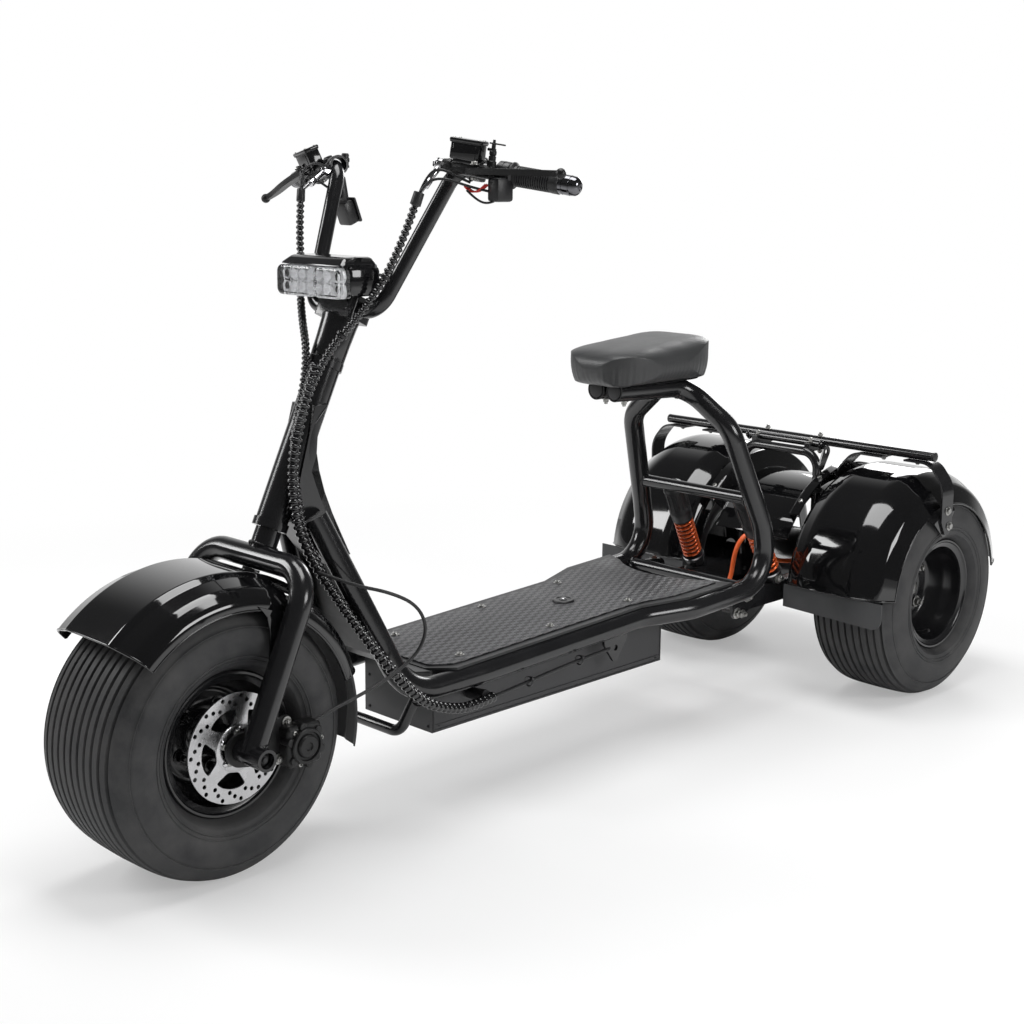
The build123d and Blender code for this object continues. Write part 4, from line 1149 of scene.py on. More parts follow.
@dataclass
class Tyre(Assembly):
    """Ribbed low-pressure tyre: grooved crown, ringed side walls and a bead against the rim."""

    centre: Vector
    side: int
    node: str
    body: Body
    wall: Profile
    grooves: Sequence[float]
    groove_width: float = 0.0056
    groove_depth: float = 0.006
    rim_half: float = 0.087
    bead_radius: float = 0.1225
    ring_radii: Sequence[float] = (0.142, 0.1485, 0.196)
    ring_height: float = 0.0011
    steps: int = 132

    def half_wall(self) -> list[tuple[float, float]]:
        """Side wall from the shoulder's last groove to the bead, with its raised rings."""
        outline = rounded_profile(self.wall)
        last = max(self.grooves) + self.groove_width
        below = [(y, radius) for y, radius in outline if y > last or radius < 0.2]
        ringed: list[tuple[float, float]] = []
        for (y0, r0), (y1, r1) in zip(below, below[1:]):
            ringed.append((y0, r0))
            for ring in self.ring_radii:
                if r1 < ring <= r0:
                    share = (r0 - ring) / (r0 - r1)
                    y = y0 + (y1 - y0) * share
                    ringed += [
                        (y, ring + 0.0014),
                        (y + self.ring_height, ring + 0.0006),
                        (y + self.ring_height, ring - 0.0006),
                        (y, ring - 0.0014),
                    ]
        ringed.append(below[-1])
        bead = [(self.rim_half + 0.009, 0.1262), (self.rim_half + 0.0015, self.bead_radius)]
        return ringed + bead + [
            (self.rim_half - 0.006, self.bead_radius - 0.003), (self.rim_half - 0.012, 0.1085)
        ]

    def crown(self) -> list[tuple[float, float]]:
        """Crown from the middle to the shoulder, cut by straight grooves."""
        outline = rounded_profile(self.wall)
        points: list[tuple[float, float]] = []
        half = self.groove_width / 2
        for place in self.grooves:
            top = radius_at(outline, max(place, 0.0))
            floor = top - self.groove_depth
            points += [
                (place - half - 0.0008, radius_at(outline, max(place - half - 0.0008, 0.0))),
                (place - half, top - 0.0008),
                (place - half + 0.0009, floor),
                (place + half - 0.0009, floor),
                (place + half, top - 0.0008),
                (place + half + 0.0008, radius_at(outline, place + half + 0.0008)),
            ]
        return [point for point in points if point[0] > 0.0]

    def build(self) -> None:
        """Turn the tyre and mount it."""
        right = self.crown() + self.half_wall()
        left = [(-y, radius) for y, radius in reversed(right)]
        middle = [] if min(self.grooves) == 0.0 else [(0.0, self.wall[0][1])]
        profile = left + middle + right
        tyre = Bench.turned(self.node + "_ribbed", self.centre, LEFT, profile, self.steps, closed=True)
        self.fit(tyre, Look.TYRE, self.body, self.node)


@dataclass
class Rim(Assembly):
    """Pressed rim with rolled lips, two steps in its barrel, a deep disc, nuts and a valve."""

    centre: Vector
    side: int
    node: str
    body: Body
    dish: float
    hub_out: float
    hub_in: float
    bore: float
    flange: float = 0.12
    half: float = 0.087
    nut_circle: float = 0.055
    nuts: int = 4
    steps: int = 96

    def section(self) -> list[tuple[float, float]]:
        """Closed section of the rim, lip to lip."""
        wall, lip = 0.004, 0.0032
        half, flange = self.half, self.flange
        outside = [
            (half - wall - 0.0003, flange - 0.0005),
            (half - wall, 0.1062),
            (half - wall - 0.003, 0.1056),
            (half - wall - 0.024, 0.1056),
            (half - wall - 0.032, 0.097),
        ]
        open_side = [
            (half + 0.0005, flange + 0.0012),
            (half + lip, flange - 0.0015),
            (half + lip - 0.0004, flange - 0.005),
            (half - 0.0005, flange - 0.0065),
            (half - 0.0015, 0.1115),
            (half - 0.004, 0.1035),
            (half - 0.012, 0.101),
            (half - 0.0285, 0.1008),
            (half - 0.038, 0.093),
            (half - 0.046, 0.092),
            (half - 0.05, 0.0895),
        ]
        face = self.dish + 0.003
        back = self.dish - 0.003
        return (
            outside
            + [(-y, r) for y, r in reversed(outside)]
            + [(-y, r) for y, r in open_side]
            + [
                (back - 0.004, 0.0895),
                (back, 0.085),
                (back, 0.03),
                (back - 0.004, 0.0275),
                (-self.hub_in, 0.0275),
                (-self.hub_in, self.bore / 2),
                (self.hub_out, self.bore / 2),
                (self.hub_out, 0.0265),
                (self.hub_out - 0.0015, 0.028),
                (face + 0.003, 0.028),
                (face, 0.032),
                (face, 0.040),
                (face + 0.003, 0.044),
                (face + 0.003, 0.066),
                (face, 0.071),
                (face, 0.079),
                (face + 0.006, 0.086),
            ]
            + list(reversed(open_side))
        )

    def build(self) -> None:
        """Turn the rim, then add its nuts and its valve."""
        out = Vector((0, self.side, 0))
        rim = Bench.turned(
            self.node + "_pressed", self.centre, out, self.section(), self.steps, closed=True, smooth_deg=50.0
        )
        self.fit(rim, Look.FRAME_BLACK, self.body, self.node)
        first = self.centre + out * (self.dish + 0.006) + Vector((0, 0, self.nut_circle))
        nut = bolt("nut", first, out, 0.018, 0.011, stud=0.006)
        turns = [spun(self.centre, out, 2 * pi * count / self.nuts + pi / 4) for count in range(self.nuts)]
        look = Look.FRAME_BLACK if self.body is Body.FRONT_WHEEL else Look.ZINC
        self.fit(Bench.copies(self.node + "_nuts", nut, turns), look, self.body)
        foot = self.centre + out * (self.half - 0.034) + Vector((0.012, 0, -0.095))
        tip = foot + out * 0.026 + Vector((0, 0, 0.013))
        stem = Bench.rod(
            "stem", foot - out * 0.004, foot + (tip - foot) * 0.6, 0.0052, 0.0038, sides=16, bevel=0.0006
        )
        cap = Bench.rod("cap", foot + (tip - foot) * 0.55, tip, 0.0042, sides=14, bevel=0.0008)
        self.fit(Bench.join(self.node + "_valve", [stem, cap]), Look.RUBBER, self.body)


@dataclass
class Wheels(Assembly):
    """All three wheels with their tyres and rims, the disc's bolts and the axle nuts."""

    front_wall: Profile = (
        (0, 0.2286), (0.070, 0.2272), (0.092, 0.2215), (0.106, 0.2085), (0.115, 0.1915), (0.1195, 0.172),
        (0.1165, 0.150), (0.107, 0.133),
    )
    rear_wall: Profile = (
        (0, 0.2286), (0.060, 0.2278), (0.076, 0.2235), (0.088, 0.2145), (0.097, 0.2005), (0.104, 0.180),
        (0.108, 0.156), (0.104, 0.133),
    )
    hub_face: float = 0.2935
    front_grooves: Sequence[float] = (0.0, 0.0185, 0.037, 0.0555, 0.074, 0.0905)
    rear_grooves: Sequence[float] = (0.0, 0.0175, 0.035, 0.0525, 0.069, 0.083)

    def build(self) -> None:
        """Build wheel after wheel, then the disc's bolts."""
        front, track = self.layout.front, 0.279
        shared = (self.layout, self.paint)
        Tyre(*shared, front, 1, "front_tyre", Body.FRONT_WHEEL, self.front_wall, self.front_grooves).build()
        Rim(
            *shared, front, 1, "front_rim", Body.FRONT_WHEEL, dish=0.020, hub_out=0.104, hub_in=0.104,
            bore=0.0151, nuts=5,
        ).build()
        for side, word, body in ((1, "left", Body.REAR_LEFT_WHEEL), (-1, "right", Body.REAR_RIGHT_WHEEL)):
            centre = self.layout.rear + Vector((0, side * track, 0))
            node = f"rear_{word}"
            Tyre(*shared, centre, side, f"{node}_tyre", body, self.rear_wall, self.rear_grooves).build()
            Rim(
                *shared, centre, side, f"{node}_rim", body, dish=0.005, hub_out=0.014, hub_in=0.078,
                bore=0.0251,
            ).build()
        self.disc_bolts()
        self.axle_caps()

    def disc_bolts(self) -> None:
        """Bright bolts round the brake disc's hub."""
        out = LEFT
        seat = self.layout.front + Vector((0, 0.1115, 0.026))
        screw = socket_screw("screw", seat, out, 0.0105, 0.0055)
        turns = [spun(self.layout.front, out, 2 * pi * count / 5) for count in range(5)]
        self.fit(Bench.copies("disc_bolts", screw, turns), Look.ZINC, Body.FRONT_WHEEL)

    def axle_caps(self) -> None:
        """Washers, nuts and stud ends outside the rear hubs."""
        for side, word in ((1, "left"), (-1, "right")):
            out = Vector((0, side, 0))
            hub = self.layout.rear + out * self.hub_face
            washer = Bench.rod("washer", hub, hub + out * 0.002, 0.0225, sides=32, bevel=0.0005)
            nut = hex_nut("nut", hub + out * 0.002, out, 0.036, 0.0085)
            stud = Bench.rod("stud", hub + out * 0.008, hub + out * 0.015, 0.0115, sides=24, bevel=0.0012)
            self.group(f"{word}_axle_nut", [washer, nut, stud], Look.ZINC, Body.FRAME)


# ------------------------------------------------------------------------------------- front assembly
@dataclass
class FrontEnd(Assembly):
    """Fork trim, spindle nuts, mudguard edges and the brake caliper's details."""

    guard_radius: float = 0.274
    guard_half: float = 0.126
    guard_skirt: float = 0.050
    back_deg: float = 72.0
    front_deg: float = 44.0
    edge_wire: float = 0.0052
    holes: int = 15
    windows: int = 5
    first_window: float = 0.42

    def around(self, radius: float, y: float, degrees: float) -> Vector:
        """Point round the front axle: 0 straight up, positive to the front."""
        turn = radians(degrees)
        return self.layout.front + Vector((radius * sin(turn), y, radius * cos(turn)))

    def build(self) -> None:
        """Build every piece of the front end."""
        self.guard_edges()
        self.guard_ears()
        self.disc()
        self.fork_trim()
        self.spindle_nuts()
        self.caliper()

    def guard_edges(self) -> None:
        """Rolled wire along both sides of the mudguard and across its front."""
        low = self.guard_radius - self.guard_skirt
        count = 24
        for side, word in ((1, "left"), (-1, "right")):
            y = side * (self.guard_half - 0.0015)
            points = [
                self.around(low, y, -self.back_deg + (self.back_deg + self.front_deg) * step / count)
                for step in range(count + 1)
            ]
            wire = Bench.tube(f"{word}_guard_edge", points, self.edge_wire, resolution=3)
            self.fit(wire, Look.GLOSS_BLACK, Body.STEERING)
        crest = self.guard_radius - 0.0015
        for word, turn in (("front", self.front_deg), ("back", -self.back_deg)):
            half = [
                (low, self.guard_half - 0.0015),
                (crest - 0.034, self.guard_half - 0.0025),
                (crest - 0.022, self.guard_half - 0.0100),
                (crest - 0.0155, self.guard_half - 0.0230),
                (crest - 0.0070, 0.0725),
                (crest - 0.0008, 0.0600),
            ]
            line = half + [(radius, -y) for radius, y in reversed(half)]
            points = [self.around(radius, y, turn) for radius, y in line]
            wire = Bench.tube(f"{word}_guard_lip", points, self.edge_wire * 0.8, resolution=4)
            self.fit(wire, Look.GLOSS_BLACK, Body.STEERING)
        bolts = []
        for y, turn in ((0.045, -64.0), (-0.045, -64.0), (0.0, -67.0)):
            seat = self.around(self.guard_radius, y, turn)
            bolts.append(socket_screw("screw", seat, seat - self.around(0.0, y, 0.0), 0.012, 0.005))
        self.group("guard_screws", bolts, Look.ZINC, Body.STEERING)

    def guard_ears(self) -> None:
        """Plates that carry the mudguard from its sides down along the fork legs."""
        outline = [
            (0.2300, -9.0), (0.2140, -14.0), (0.1900, -17.5), (0.1650, -19.5), (0.1420, -22.0),
            (0.1340, -25.0), (0.1440, -28.5), (0.1700, -30.0), (0.2000, -31.5), (0.2300, -34.0),
        ]
        plates = []
        for side in (1, -1):
            y = side * 0.1272
            plate = Bench.sheet(
                [self.around(radius, y, turn) for radius, turn in outline], (0, side * 0.0025, 0)
            )
            Bench.soften(plate, 0.0007, segments=2)
            plates.append(Bench.settle(plate, "ear"))
        self.group("guard_ears", plates, Look.GLOSS_BLACK, Body.STEERING)

    def disc(self) -> None:
        """Brake disc with five rounded windows and three rows of holes, its hub and its domed bolts."""
        centre, out = self.layout.front, LEFT

        def spot(radius: float, turn: float, y: float = 0.110) -> Vector:
            """Point of the disc by its radius and its turn from straight up."""
            return centre + Vector((radius * sin(turn), y, radius * cos(turn)))

        plate = Bench.turned(
            "plate", centre, out,
            [
                (0.1085, 0.0225), (0.1085, 0.0906), (0.1089, 0.0910), (0.1111, 0.0910), (0.1115, 0.0906),
                (0.1115, 0.0225),
            ],
            steps=120, closed=True,
        )
        tools = []
        for row in range(3):
            circle = 0.0724 + row * 0.0066
            for step in range(self.holes):
                turn = 2 * pi * (step + row / 3) / self.holes
                tools.append(
                    Bench.rod("drill", spot(circle, turn, 0.105), spot(circle, turn, 0.115), 0.0036, sides=20)
                )
        for step in range(self.windows):
            middle = 2 * pi * step / self.windows + self.first_window
            corners = [
                (0.0405, -0.24), (0.0640, -0.47), (0.0664, -0.24), (0.0670, 0.0), (0.0664, 0.24),
                (0.0640, 0.45), (0.0405, 0.28),
            ]
            window = Bench.sheet(
                [spot(radius, middle + turn, 0.105) for radius, turn in corners], (0, 0.010, 0)
            )
            Bench.round_along(window, 1, 0.0042, 4)
            tools.append(Bench.settle(window, "window"))
        cutter = Bench.join("cutter", tools)
        Bench.apply(plate, "BOOLEAN", object=cutter, operation="DIFFERENCE", solver="EXACT")
        bpy.data.objects.remove(cutter)
        hat = [
            (0.1040, 0.0145), (0.1040, 0.0340), (0.1080, 0.0360), (0.1118, 0.0385), (0.1124, 0.0375),
            (0.1130, 0.0300), (0.1130, 0.0230), (0.1120, 0.0145),
        ]
        hub = Bench.turned("hub", centre, out, hat, steps=64, closed=True)
        disc = Bench.join("drilled_disc", [Bench.settle(plate, "plate"), hub])
        self.fit(disc, Look.STEEL, Body.FRONT_WHEEL, "brake_disc")
        heads = []
        for step in range(self.windows):
            seat = spot(0.0310, 2 * pi * step / self.windows + self.first_window + pi / self.windows, 0.1128)
            dome = [
                (0.0, 0.0), (0.0, 0.0050), (0.0012, 0.0049), (0.0026, 0.0038), (0.0032, 0.0020), (0.0033, 0.0)
            ]
            heads.append(Bench.turned("head", seat, out, dome, steps=20))
        self.group("disc_bolts", heads, Look.CHROME, Body.FRONT_WHEEL)

    def fork_trim(self) -> None:
        """Weld beads where the crown meets the boss and the sleeves meet the legs."""
        layout = self.layout
        crown = 0.298
        ring = [
            layout.steered(0.0225 * cos(turn), 0.0225 * sin(turn), crown + 0.0195 + 0.002 * abs(cos(turn)))
            for turn in [2 * pi * step / 20 for step in range(21)]
        ]
        beads = [weld_bead("bead", ring, 0.007)]
        for side in (1, -1):
            centre = layout.front + Vector((0, side * 0.152, 0))
            loop = [
                centre + Vector(
                    (0.0185 * cos(turn), side * 0.0195 * sin(turn), 0)
                ) + layout.steer_axis * 0.0165
                for turn in [2 * pi * step / 20 for step in range(21)]
            ]
            beads.append(weld_bead("bead", loop, 0.006))
        self.group("fork_welds", beads, Look.FRAME_BLACK, Body.STEERING)

    def spindle_nuts(self) -> None:
        """Nuts and washers inside the sleeves' mouths."""
        nuts = []
        for side in (1, -1):
            seat = self.layout.front + Vector((0, side * 0.1786, 0))
            nuts.append(bolt("nut", seat, Vector((0, side, 0)), 0.0165, 0.006, stud=0.003))
        self.group("spindle_nuts", nuts, Look.PLATE_BLACK, Body.STEERING)

    def caliper(self) -> None:
        """Round piston cover with its lobes, bolts, hose union and nipple of the caliper."""
        at, out = self.layout.at, LEFT
        hub = at(1.564, 0.150, 0.217)
        cover = [
            (0.0, 0.030), (0.006, 0.030), (0.008, 0.0285), (0.008, 0.0245), (0.0045, 0.0235), (0.0045, 0.020),
            (0.009, 0.0185), (0.0105, 0.0165), (0.0105, 0.0075), (0.008, 0.006), (0.008, 0.0),
        ]
        pieces = [Bench.turned("cover", hub, out, cover, steps=48)]
        for turn in (20, 80, 140, 200, 260, 320):
            spot = hub + Vector((0.0325 * cos(radians(turn)), -0.008, 0.0325 * sin(radians(turn))))
            lobe = Bench.rod("lobe", spot - out * 0.012, spot + out * 0.012, 0.0072, sides=20, bevel=0.0015)
            pieces.append(lobe)
        self.group("caliper_cover", pieces, Look.CAST, Body.STEERING)
        heads = []
        for x, z in ((1.583, 0.2553), (1.601, 0.1965)):
            heads.append(bolt("bolt", at(x, 0.1255, z), out, 0.0125, 0.007, stud=0.002))
        for turn in (50, 170, 290):
            spot = hub + Vector((0.0325 * cos(radians(turn)), -0.004, 0.0325 * sin(radians(turn))))
            heads.append(socket_screw("screw", spot, out, 0.009, 0.006))
        self.group("caliper_bolts", heads, Look.ZINC, Body.STEERING)
        union = at(1.545, 0.142, 0.214)
        down = Vector((-0.35, 0.15, -1.0)).normalized()
        sleeve = Bench.rod(
            "sleeve", union - down * 0.028, union + down * 0.004, 0.0055, sides=20, bevel=0.001
        )
        nut = hex_nut("nut", union + down * 0.002, down, 0.0135, 0.009)
        nipple = Bench.rod(
            "nipple", union + down * 0.010, union + down * 0.021, 0.0042, 0.003, sides=16, bevel=0.0006
        )
        self.group("caliper_union", [nut, sleeve, nipple], Look.STEEL, Body.STEERING)


@dataclass
class Headlamp(Assembly):
    """Clear two-part lens with its prisms, reflectors behind it and the hood over it."""

    length: float = 0.168
    height: float = 0.050
    depth: float = 0.028
    prisms: int = 7

    def build(self) -> None:
        """Build the lens, what shows through it and the hood."""
        low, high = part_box("headlamp_lens")
        centre = (low + high) / 2
        self.lens(centre)
        self.reflectors(centre)
        self.hood(centre)

    def capsule(self, name: str, centre: Vector, size: Point, rounding: float) -> Object:
        """Block with rounded ends and soft edges."""
        body = Bench.block(name, centre, size, bevel=0.0)
        Bench.round_along(body, 0, rounding, 6)
        Bench.soften(body, 0.004, segments=3)
        return Bench.settle(body, name)

    def lens(self, centre: Vector) -> None:
        """Two clear mouldings that meet in a seam."""
        seam = centre.y + 0.012
        low, high = centre.y - self.length / 2, centre.y + self.length / 2
        parts = []
        for y0, y1 in ((low, seam - 0.0006), (seam + 0.0006, high)):
            middle = Vector((centre.x, (y0 + y1) / 2, centre.z))
            parts.append(self.capsule("lens", middle, (self.depth, y1 - y0, self.height), 0.012))
        self.group("headlamp_lens_parts", parts, Look.CLEAR, Body.STEERING, "headlamp_lens")

    def reflectors(self, centre: Vector) -> None:
        """Faceted cups and cross bars behind the lens, painted near-white: a painted reflection in place of a
        mirror finish.
        """
        pieces = []
        back = centre.x - self.depth / 2 + 0.004
        for row in (-1, 1):
            for count in range(self.prisms):
                y = centre.y + (count - (self.prisms - 1) / 2) * 0.0215
                spot = Vector((back, y, centre.z + row * 0.0105))
                cup = [
                    (0.0125, 0.0098), (0.0050, 0.0072), (0.0012, 0.0028), (0.0010, 0.0), (-0.001, 0.0),
                    (-0.001, 0.0105),
                ]
                pieces.append(Bench.turned("cup", spot, AHEAD, cup, steps=6, closed=True, smooth_deg=10.0))
        for count in range(9):
            y = centre.y + (count - 4) * 0.0175
            top = Vector((back + 0.010, y, centre.z + 0.0205))
            pieces.append(Bench.rod("flute", top, top - Vector((0, 0, 0.041)), 0.0011, sides=6))
        size = (0.0016, self.length - 0.010, self.height - 0.008)
        pieces.append(Bench.block("backing", Vector((back - 0.0014, centre.y, centre.z)), size, bevel=0.0005))
        # Cups, bars and backing all take the near-white painted-reflection finish.
        self.group("headlamp_reflectors", pieces, Look.REFLECTOR, Body.STEERING)

    def hood(self, centre: Vector) -> None:
        """Peaked cover over the lens and the rounded pods at both sides of the housing."""
        low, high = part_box("headlamp_housing")
        shell = Bench.block(
            "hood", Vector(((low.x + high.x) / 2 + 0.005, 0, centre.z + 0.031)), (0.082, 0.166, 0.010),
            bevel=0.0
        )
        Bench.hold(shell)
        bpy.ops.object.mode_set(mode="EDIT")
        Bench.pick(shell, lambda spot, normal: normal.z > 0.9)
        bpy.ops.transform.resize(value=(0.70, 0.84, 1.0))
        bpy.ops.transform.translate(value=(-0.006, 0, 0.005))
        bpy.ops.object.mode_set(mode="OBJECT")
        Bench.soften(shell, 0.006, segments=4, sharp_deg=25.0)
        shell = Bench.settle(shell, "headlamp_hood")
        self.fit(shell, Look.GLOSS_PLASTIC, Body.STEERING)
        pods = []
        for side in (1, -1):
            pod = Bench.block(
                "pod",
                Vector(((low.x + high.x) / 2 - 0.002, side * 0.0715, centre.z + 0.0030)),
                (0.066, 0.034, 0.050),
                bevel=0.010,
            )
            pods.append(pod)
        self.group("headlamp_pods", pods, Look.GLOSS_PLASTIC, Body.STEERING)


# ------------------------------------------------------------------------------------------- cockpit
@dataclass
class Cockpit(Assembly):
    """Handlebar controls: grips, brake masters with their unions, levers, switches and bar ends."""

    shoulder_y: float = 0.152
    sweep: float = 0.34
    line_height: float = 1.001
    end_y: float = 0.364

    def bar(self, y: float) -> Vector:
        """Point on the swept grip line."""
        return self.layout.steered(-0.007 - self.sweep * (abs(y) - self.shoulder_y), y, self.line_height)

    def axes(self, y: float, roll_deg: float = 0.0) -> tuple[Vector, Vector, Vector]:
        """Directions ahead of the bar, along it to the left, and up from it.

        Args:
            y: Place along the bar.
            roll_deg: How far the part is rolled forward about the bar.

        Returns:
            The three directions.
        """
        side = 1 if y > 0 else -1
        along = (self.bar(side * self.end_y) - self.bar(side * self.shoulder_y)).normalized() * side
        ahead = along.cross(UP).normalized()
        rise = ahead.cross(along).normalized()
        roll = radians(roll_deg)
        return ahead * cos(roll) - rise * sin(roll), along, rise * cos(roll) + ahead * sin(roll)

    def spot(self, y: float, ahead: float, left: float, up: float, roll_deg: float = 0.0) -> Vector:
        """Point off the grip line by its distances along the three directions."""
        forward, along, rise = self.axes(y, roll_deg)
        return self.bar(y) + forward * ahead + along * left + rise * up

    def build(self) -> None:
        """Build every piece on the bar."""
        self.grips()
        self.bar_ends()
        for side, y, roll, word in ((1, 0.185, 0.0, "left"), (-1, -0.212, 22.0, "right")):
            self.master(side, y, roll, word)
        self.levers()
        self.left_switches()
        self.right_controls()
        self.clamp()

    def grips(self) -> None:
        """Ribbed rubber grips with a flange and smooth end bands."""
        start, end, radius = 0.2475, 0.331, 0.0168
        length = (self.bar(end) - self.bar(start)).length
        profile = [
            (0.0, 0.0134), (0.0, 0.0205), (0.0012, 0.0215), (0.0038, 0.0215), (0.005, 0.0200),
            (0.0065, 0.0170),
        ]
        ribs = 15
        first, pitch = 0.012, (length - 0.026) / ribs
        profile.append((first - 0.001, radius))
        for count in range(ribs):
            base = first + count * pitch
            profile += [
                (base, radius - 0.0016), (base + pitch * 0.32, radius - 0.0016),
                (base + pitch * 0.42, radius), (base + pitch * 0.9, radius),
            ]
        profile += [
            (length - 0.012, radius + 0.0004), (length - 0.001, radius + 0.0004), (length, radius - 0.0006),
            (length, 0.0134),
        ]
        pieces = []
        for side in (1, -1):
            axis = self.bar(side * end) - self.bar(side * start)
            pieces.append(Bench.turned("grip", self.bar(side * start), axis, profile, steps=36, closed=True))
        self.group("ribbed_grips", pieces, Look.RUBBER, Body.STEERING, "grips")

    def bar_ends(self) -> None:
        """Domed chrome weights with two grooves and a centre screw."""
        profile = [
            (0.0003, 0.0), (0.0003, 0.0158), (0.0060, 0.0160), (0.0066, 0.0150), (0.0078, 0.0150),
            (0.0084, 0.0160), (0.0180, 0.0160), (0.0186, 0.0150), (0.0198, 0.0150), (0.0204, 0.0158),
            (0.0275, 0.0148), (0.0315, 0.0122), (0.0338, 0.0085), (0.0342, 0.0060), (0.0325, 0.0052),
            (0.0325, 0.0),
        ]
        pieces = []
        for side in (1, -1):
            axis = self.bar(side * self.end_y) - self.bar(side * 0.331)
            pieces.append(Bench.turned("weight", self.bar(side * 0.331), axis, profile, steps=40))
        self.group("domed_bar_ends", pieces, Look.DARK_CHROME, Body.STEERING, "bar_ends")

    def master(self, side: int, y: float, roll: float, word: str) -> None:
        """Brake master: reservoir with lid and screws, clamp halves, piston cap, banjo and chrome pipe.

        Args:
            side: 1 on the left, -1 on the right.
            y: Its place along the bar.
            roll: How far it is rolled forward.
            word: The side's name.
        """
        ahead, along, rise = self.axes(y, roll)
        base = self.spot(y, 0.025, 0, 0, roll)
        tank = base + along * (-side * 0.006)
        axes = (ahead, rise)
        box = Bench.block("box", tank + rise * 0.0275, (0.0260, 0.0540, 0.0290), axes, bevel=0.0030)
        lid = Bench.block("lid", tank + rise * 0.0440, (0.0295, 0.0580, 0.0060), axes, bevel=0.0022)
        waist = Bench.block("waist", tank + rise * 0.0110, (0.0210, 0.0440, 0.0080), axes, bevel=0.0025)
        front = Bench.block(
            "panel", tank + ahead * 0.0130 + rise * 0.0270, (0.0024, 0.0420, 0.0210), axes, bevel=0.0009
        )
        self.group(f"{word}_reservoir", [box, lid, waist, front], Look.GLOSS_PLASTIC, Body.STEERING)
        seal = Bench.block("seal", tank + rise * 0.0407, (0.0275, 0.0560, 0.0022), axes, bevel=0.0007)
        self.group(f"{word}_reservoir_seal", [seal], Look.RUBBER, Body.STEERING)
        screws = []
        for fore, left in ((0.0095, 0.0225), (-0.0095, 0.0225), (0.0095, -0.0225), (-0.0095, -0.0225)):
            seat = tank + rise * 0.0466 + ahead * fore + along * left
            screws.append(socket_screw("screw", seat, rise, 0.0056, 0.0014))
        for up in (0.0155, -0.0155):
            seat = self.spot(y, 0.0150, 0, up, roll)
            screws.append(socket_screw("screw", seat, -ahead, 0.0085, 0.0035))
        self.group(f"{word}_master_screws", screws, Look.ZINC, Body.STEERING)
        inner = along * -side
        barrel = [
            (-0.038, 0.0), (-0.038, 0.0088), (-0.034, 0.0108), (0.020, 0.0110), (0.024, 0.0100),
            (0.030, 0.0100), (0.032, 0.0118), (0.038, 0.0122), (0.042, 0.0112), (0.0475, 0.0106),
            (0.0485, 0.0098), (0.0485, 0.0),
        ]
        parts = [Bench.turned("barrel", base, inner, barrel, steps=32)]
        shell = [
            (-0.0130, 0.0132), (-0.0130, 0.0168), (-0.0115, 0.0180), (0.0115, 0.0180), (0.0130, 0.0168),
            (0.0130, 0.0132),
        ]
        parts.append(Bench.turned("shell", self.bar(y), along, shell, steps=40, closed=True))
        parts.append(
            Bench.block(
                "cap", self.spot(y, -0.0115, 0, 0, roll), (0.0120, 0.0220, 0.0400), axes, bevel=0.0035
            )
        )
        parts.append(
            Bench.block(
                "bridge", self.spot(y, 0.0150, 0, 0, roll), (0.0160, 0.0220, 0.0180), axes, bevel=0.0025
            )
        )
        for up in (0.0062, -0.0062):
            seat = self.spot(y, 0.0290, side * 0.0340, up, roll)
            parts.append(Bench.block("jaw", seat, (0.0270, 0.0230, 0.0050), axes, bevel=0.0016))
        parts.append(
            Bench.block(
                "root", self.spot(y, 0.0215, side * 0.0300, 0, roll), (0.0120, 0.0200, 0.0170), axes,
                bevel=0.0020,
            )
        )
        self.group(f"{word}_master", parts, Look.CAST, Body.STEERING, "brake_cylinders")
        self.banjo(side, base, along, word)

    def banjo(self, side: int, base: Vector, along: Vector, word: str) -> None:
        """Bright banjo bolt at the master's inner end, its eye and its pipe down to the conduit."""
        inner = along * -side
        seat = base + inner * 0.0485
        head = bolt("head", seat + inner * 0.0095, inner, 0.0145, 0.0075)
        eye = Bench.turned(
            "eye", seat, inner, [
                (0.0, 0.006), (0.0, 0.0088), (0.002, 0.0098), (0.0075, 0.0098), (0.0095, 0.0088),
                (0.0095, 0.006),
            ],
            steps=28, closed=True,
        )
        conduit = CONDUIT_HEADS[word]
        top = self.layout.at(*conduit)
        start = seat + inner * 0.0048
        neck = start + (top - start).normalized() * 0.034
        collar = Bench.rod(
            "collar", start + (neck - start) * 0.15, neck, 0.0056, 0.0046, sides=24, bevel=0.0008
        )
        crimp = Bench.rod(
            "crimp", neck, neck + (top - neck).normalized() * 0.016, 0.0062, sides=24, bevel=0.0012
        )
        self.group(f"{word}_banjo", [head, eye, collar, crimp], Look.CHROME, Body.STEERING)
        side_step = Vector((0.004, side * 0.004, 0))
        middle = (neck + top) / 2 + side_step
        pipe = Bench.tube(
            f"{word}_brake_pipe", [neck, middle, top + (neck - top) * -0.12], 0.0062, resolution=10
        )
        self.fit(pipe, Look.STEEL, Body.STEERING)

    def levers(self) -> None:
        """Pivot bolts and adjusters of both levers, and the ridges on their blades."""
        bolts, ridges = [], []
        for pivot, tip, side in (
            ((1.262, 0.214, 1.122), (1.228, 0.376, 1.120), 1),
            ((1.262, -0.226, 1.112), (1.230, -0.374, 1.066), -1),
        ):
            root, end = self.layout.at(*pivot), self.layout.at(*tip)
            reach = (end - root).normalized()
            rise = (reach.cross(-AHEAD) * side).normalized()
            seat = root + reach * 0.004
            bolts.append(bolt("bolt", seat + rise * 0.0098, rise, 0.0105, 0.0055))
            bolts.append(hex_nut("nut", seat - rise * 0.0098, -rise, 0.0115, 0.0048))
            for share in (0.34, 0.5, 0.66):
                spot = root.lerp(end, share)
                ridges.append(
                    Bench.block(
                        "ridge", spot + rise * 0.0048, (0.018, 0.0062, 0.0016), (reach, rise), bevel=0.0006
                    )
                )
        self.group("lever_bolts", bolts, Look.ZINC, Body.STEERING)
        self.group("lever_ridges", ridges, Look.CAST, Body.STEERING)

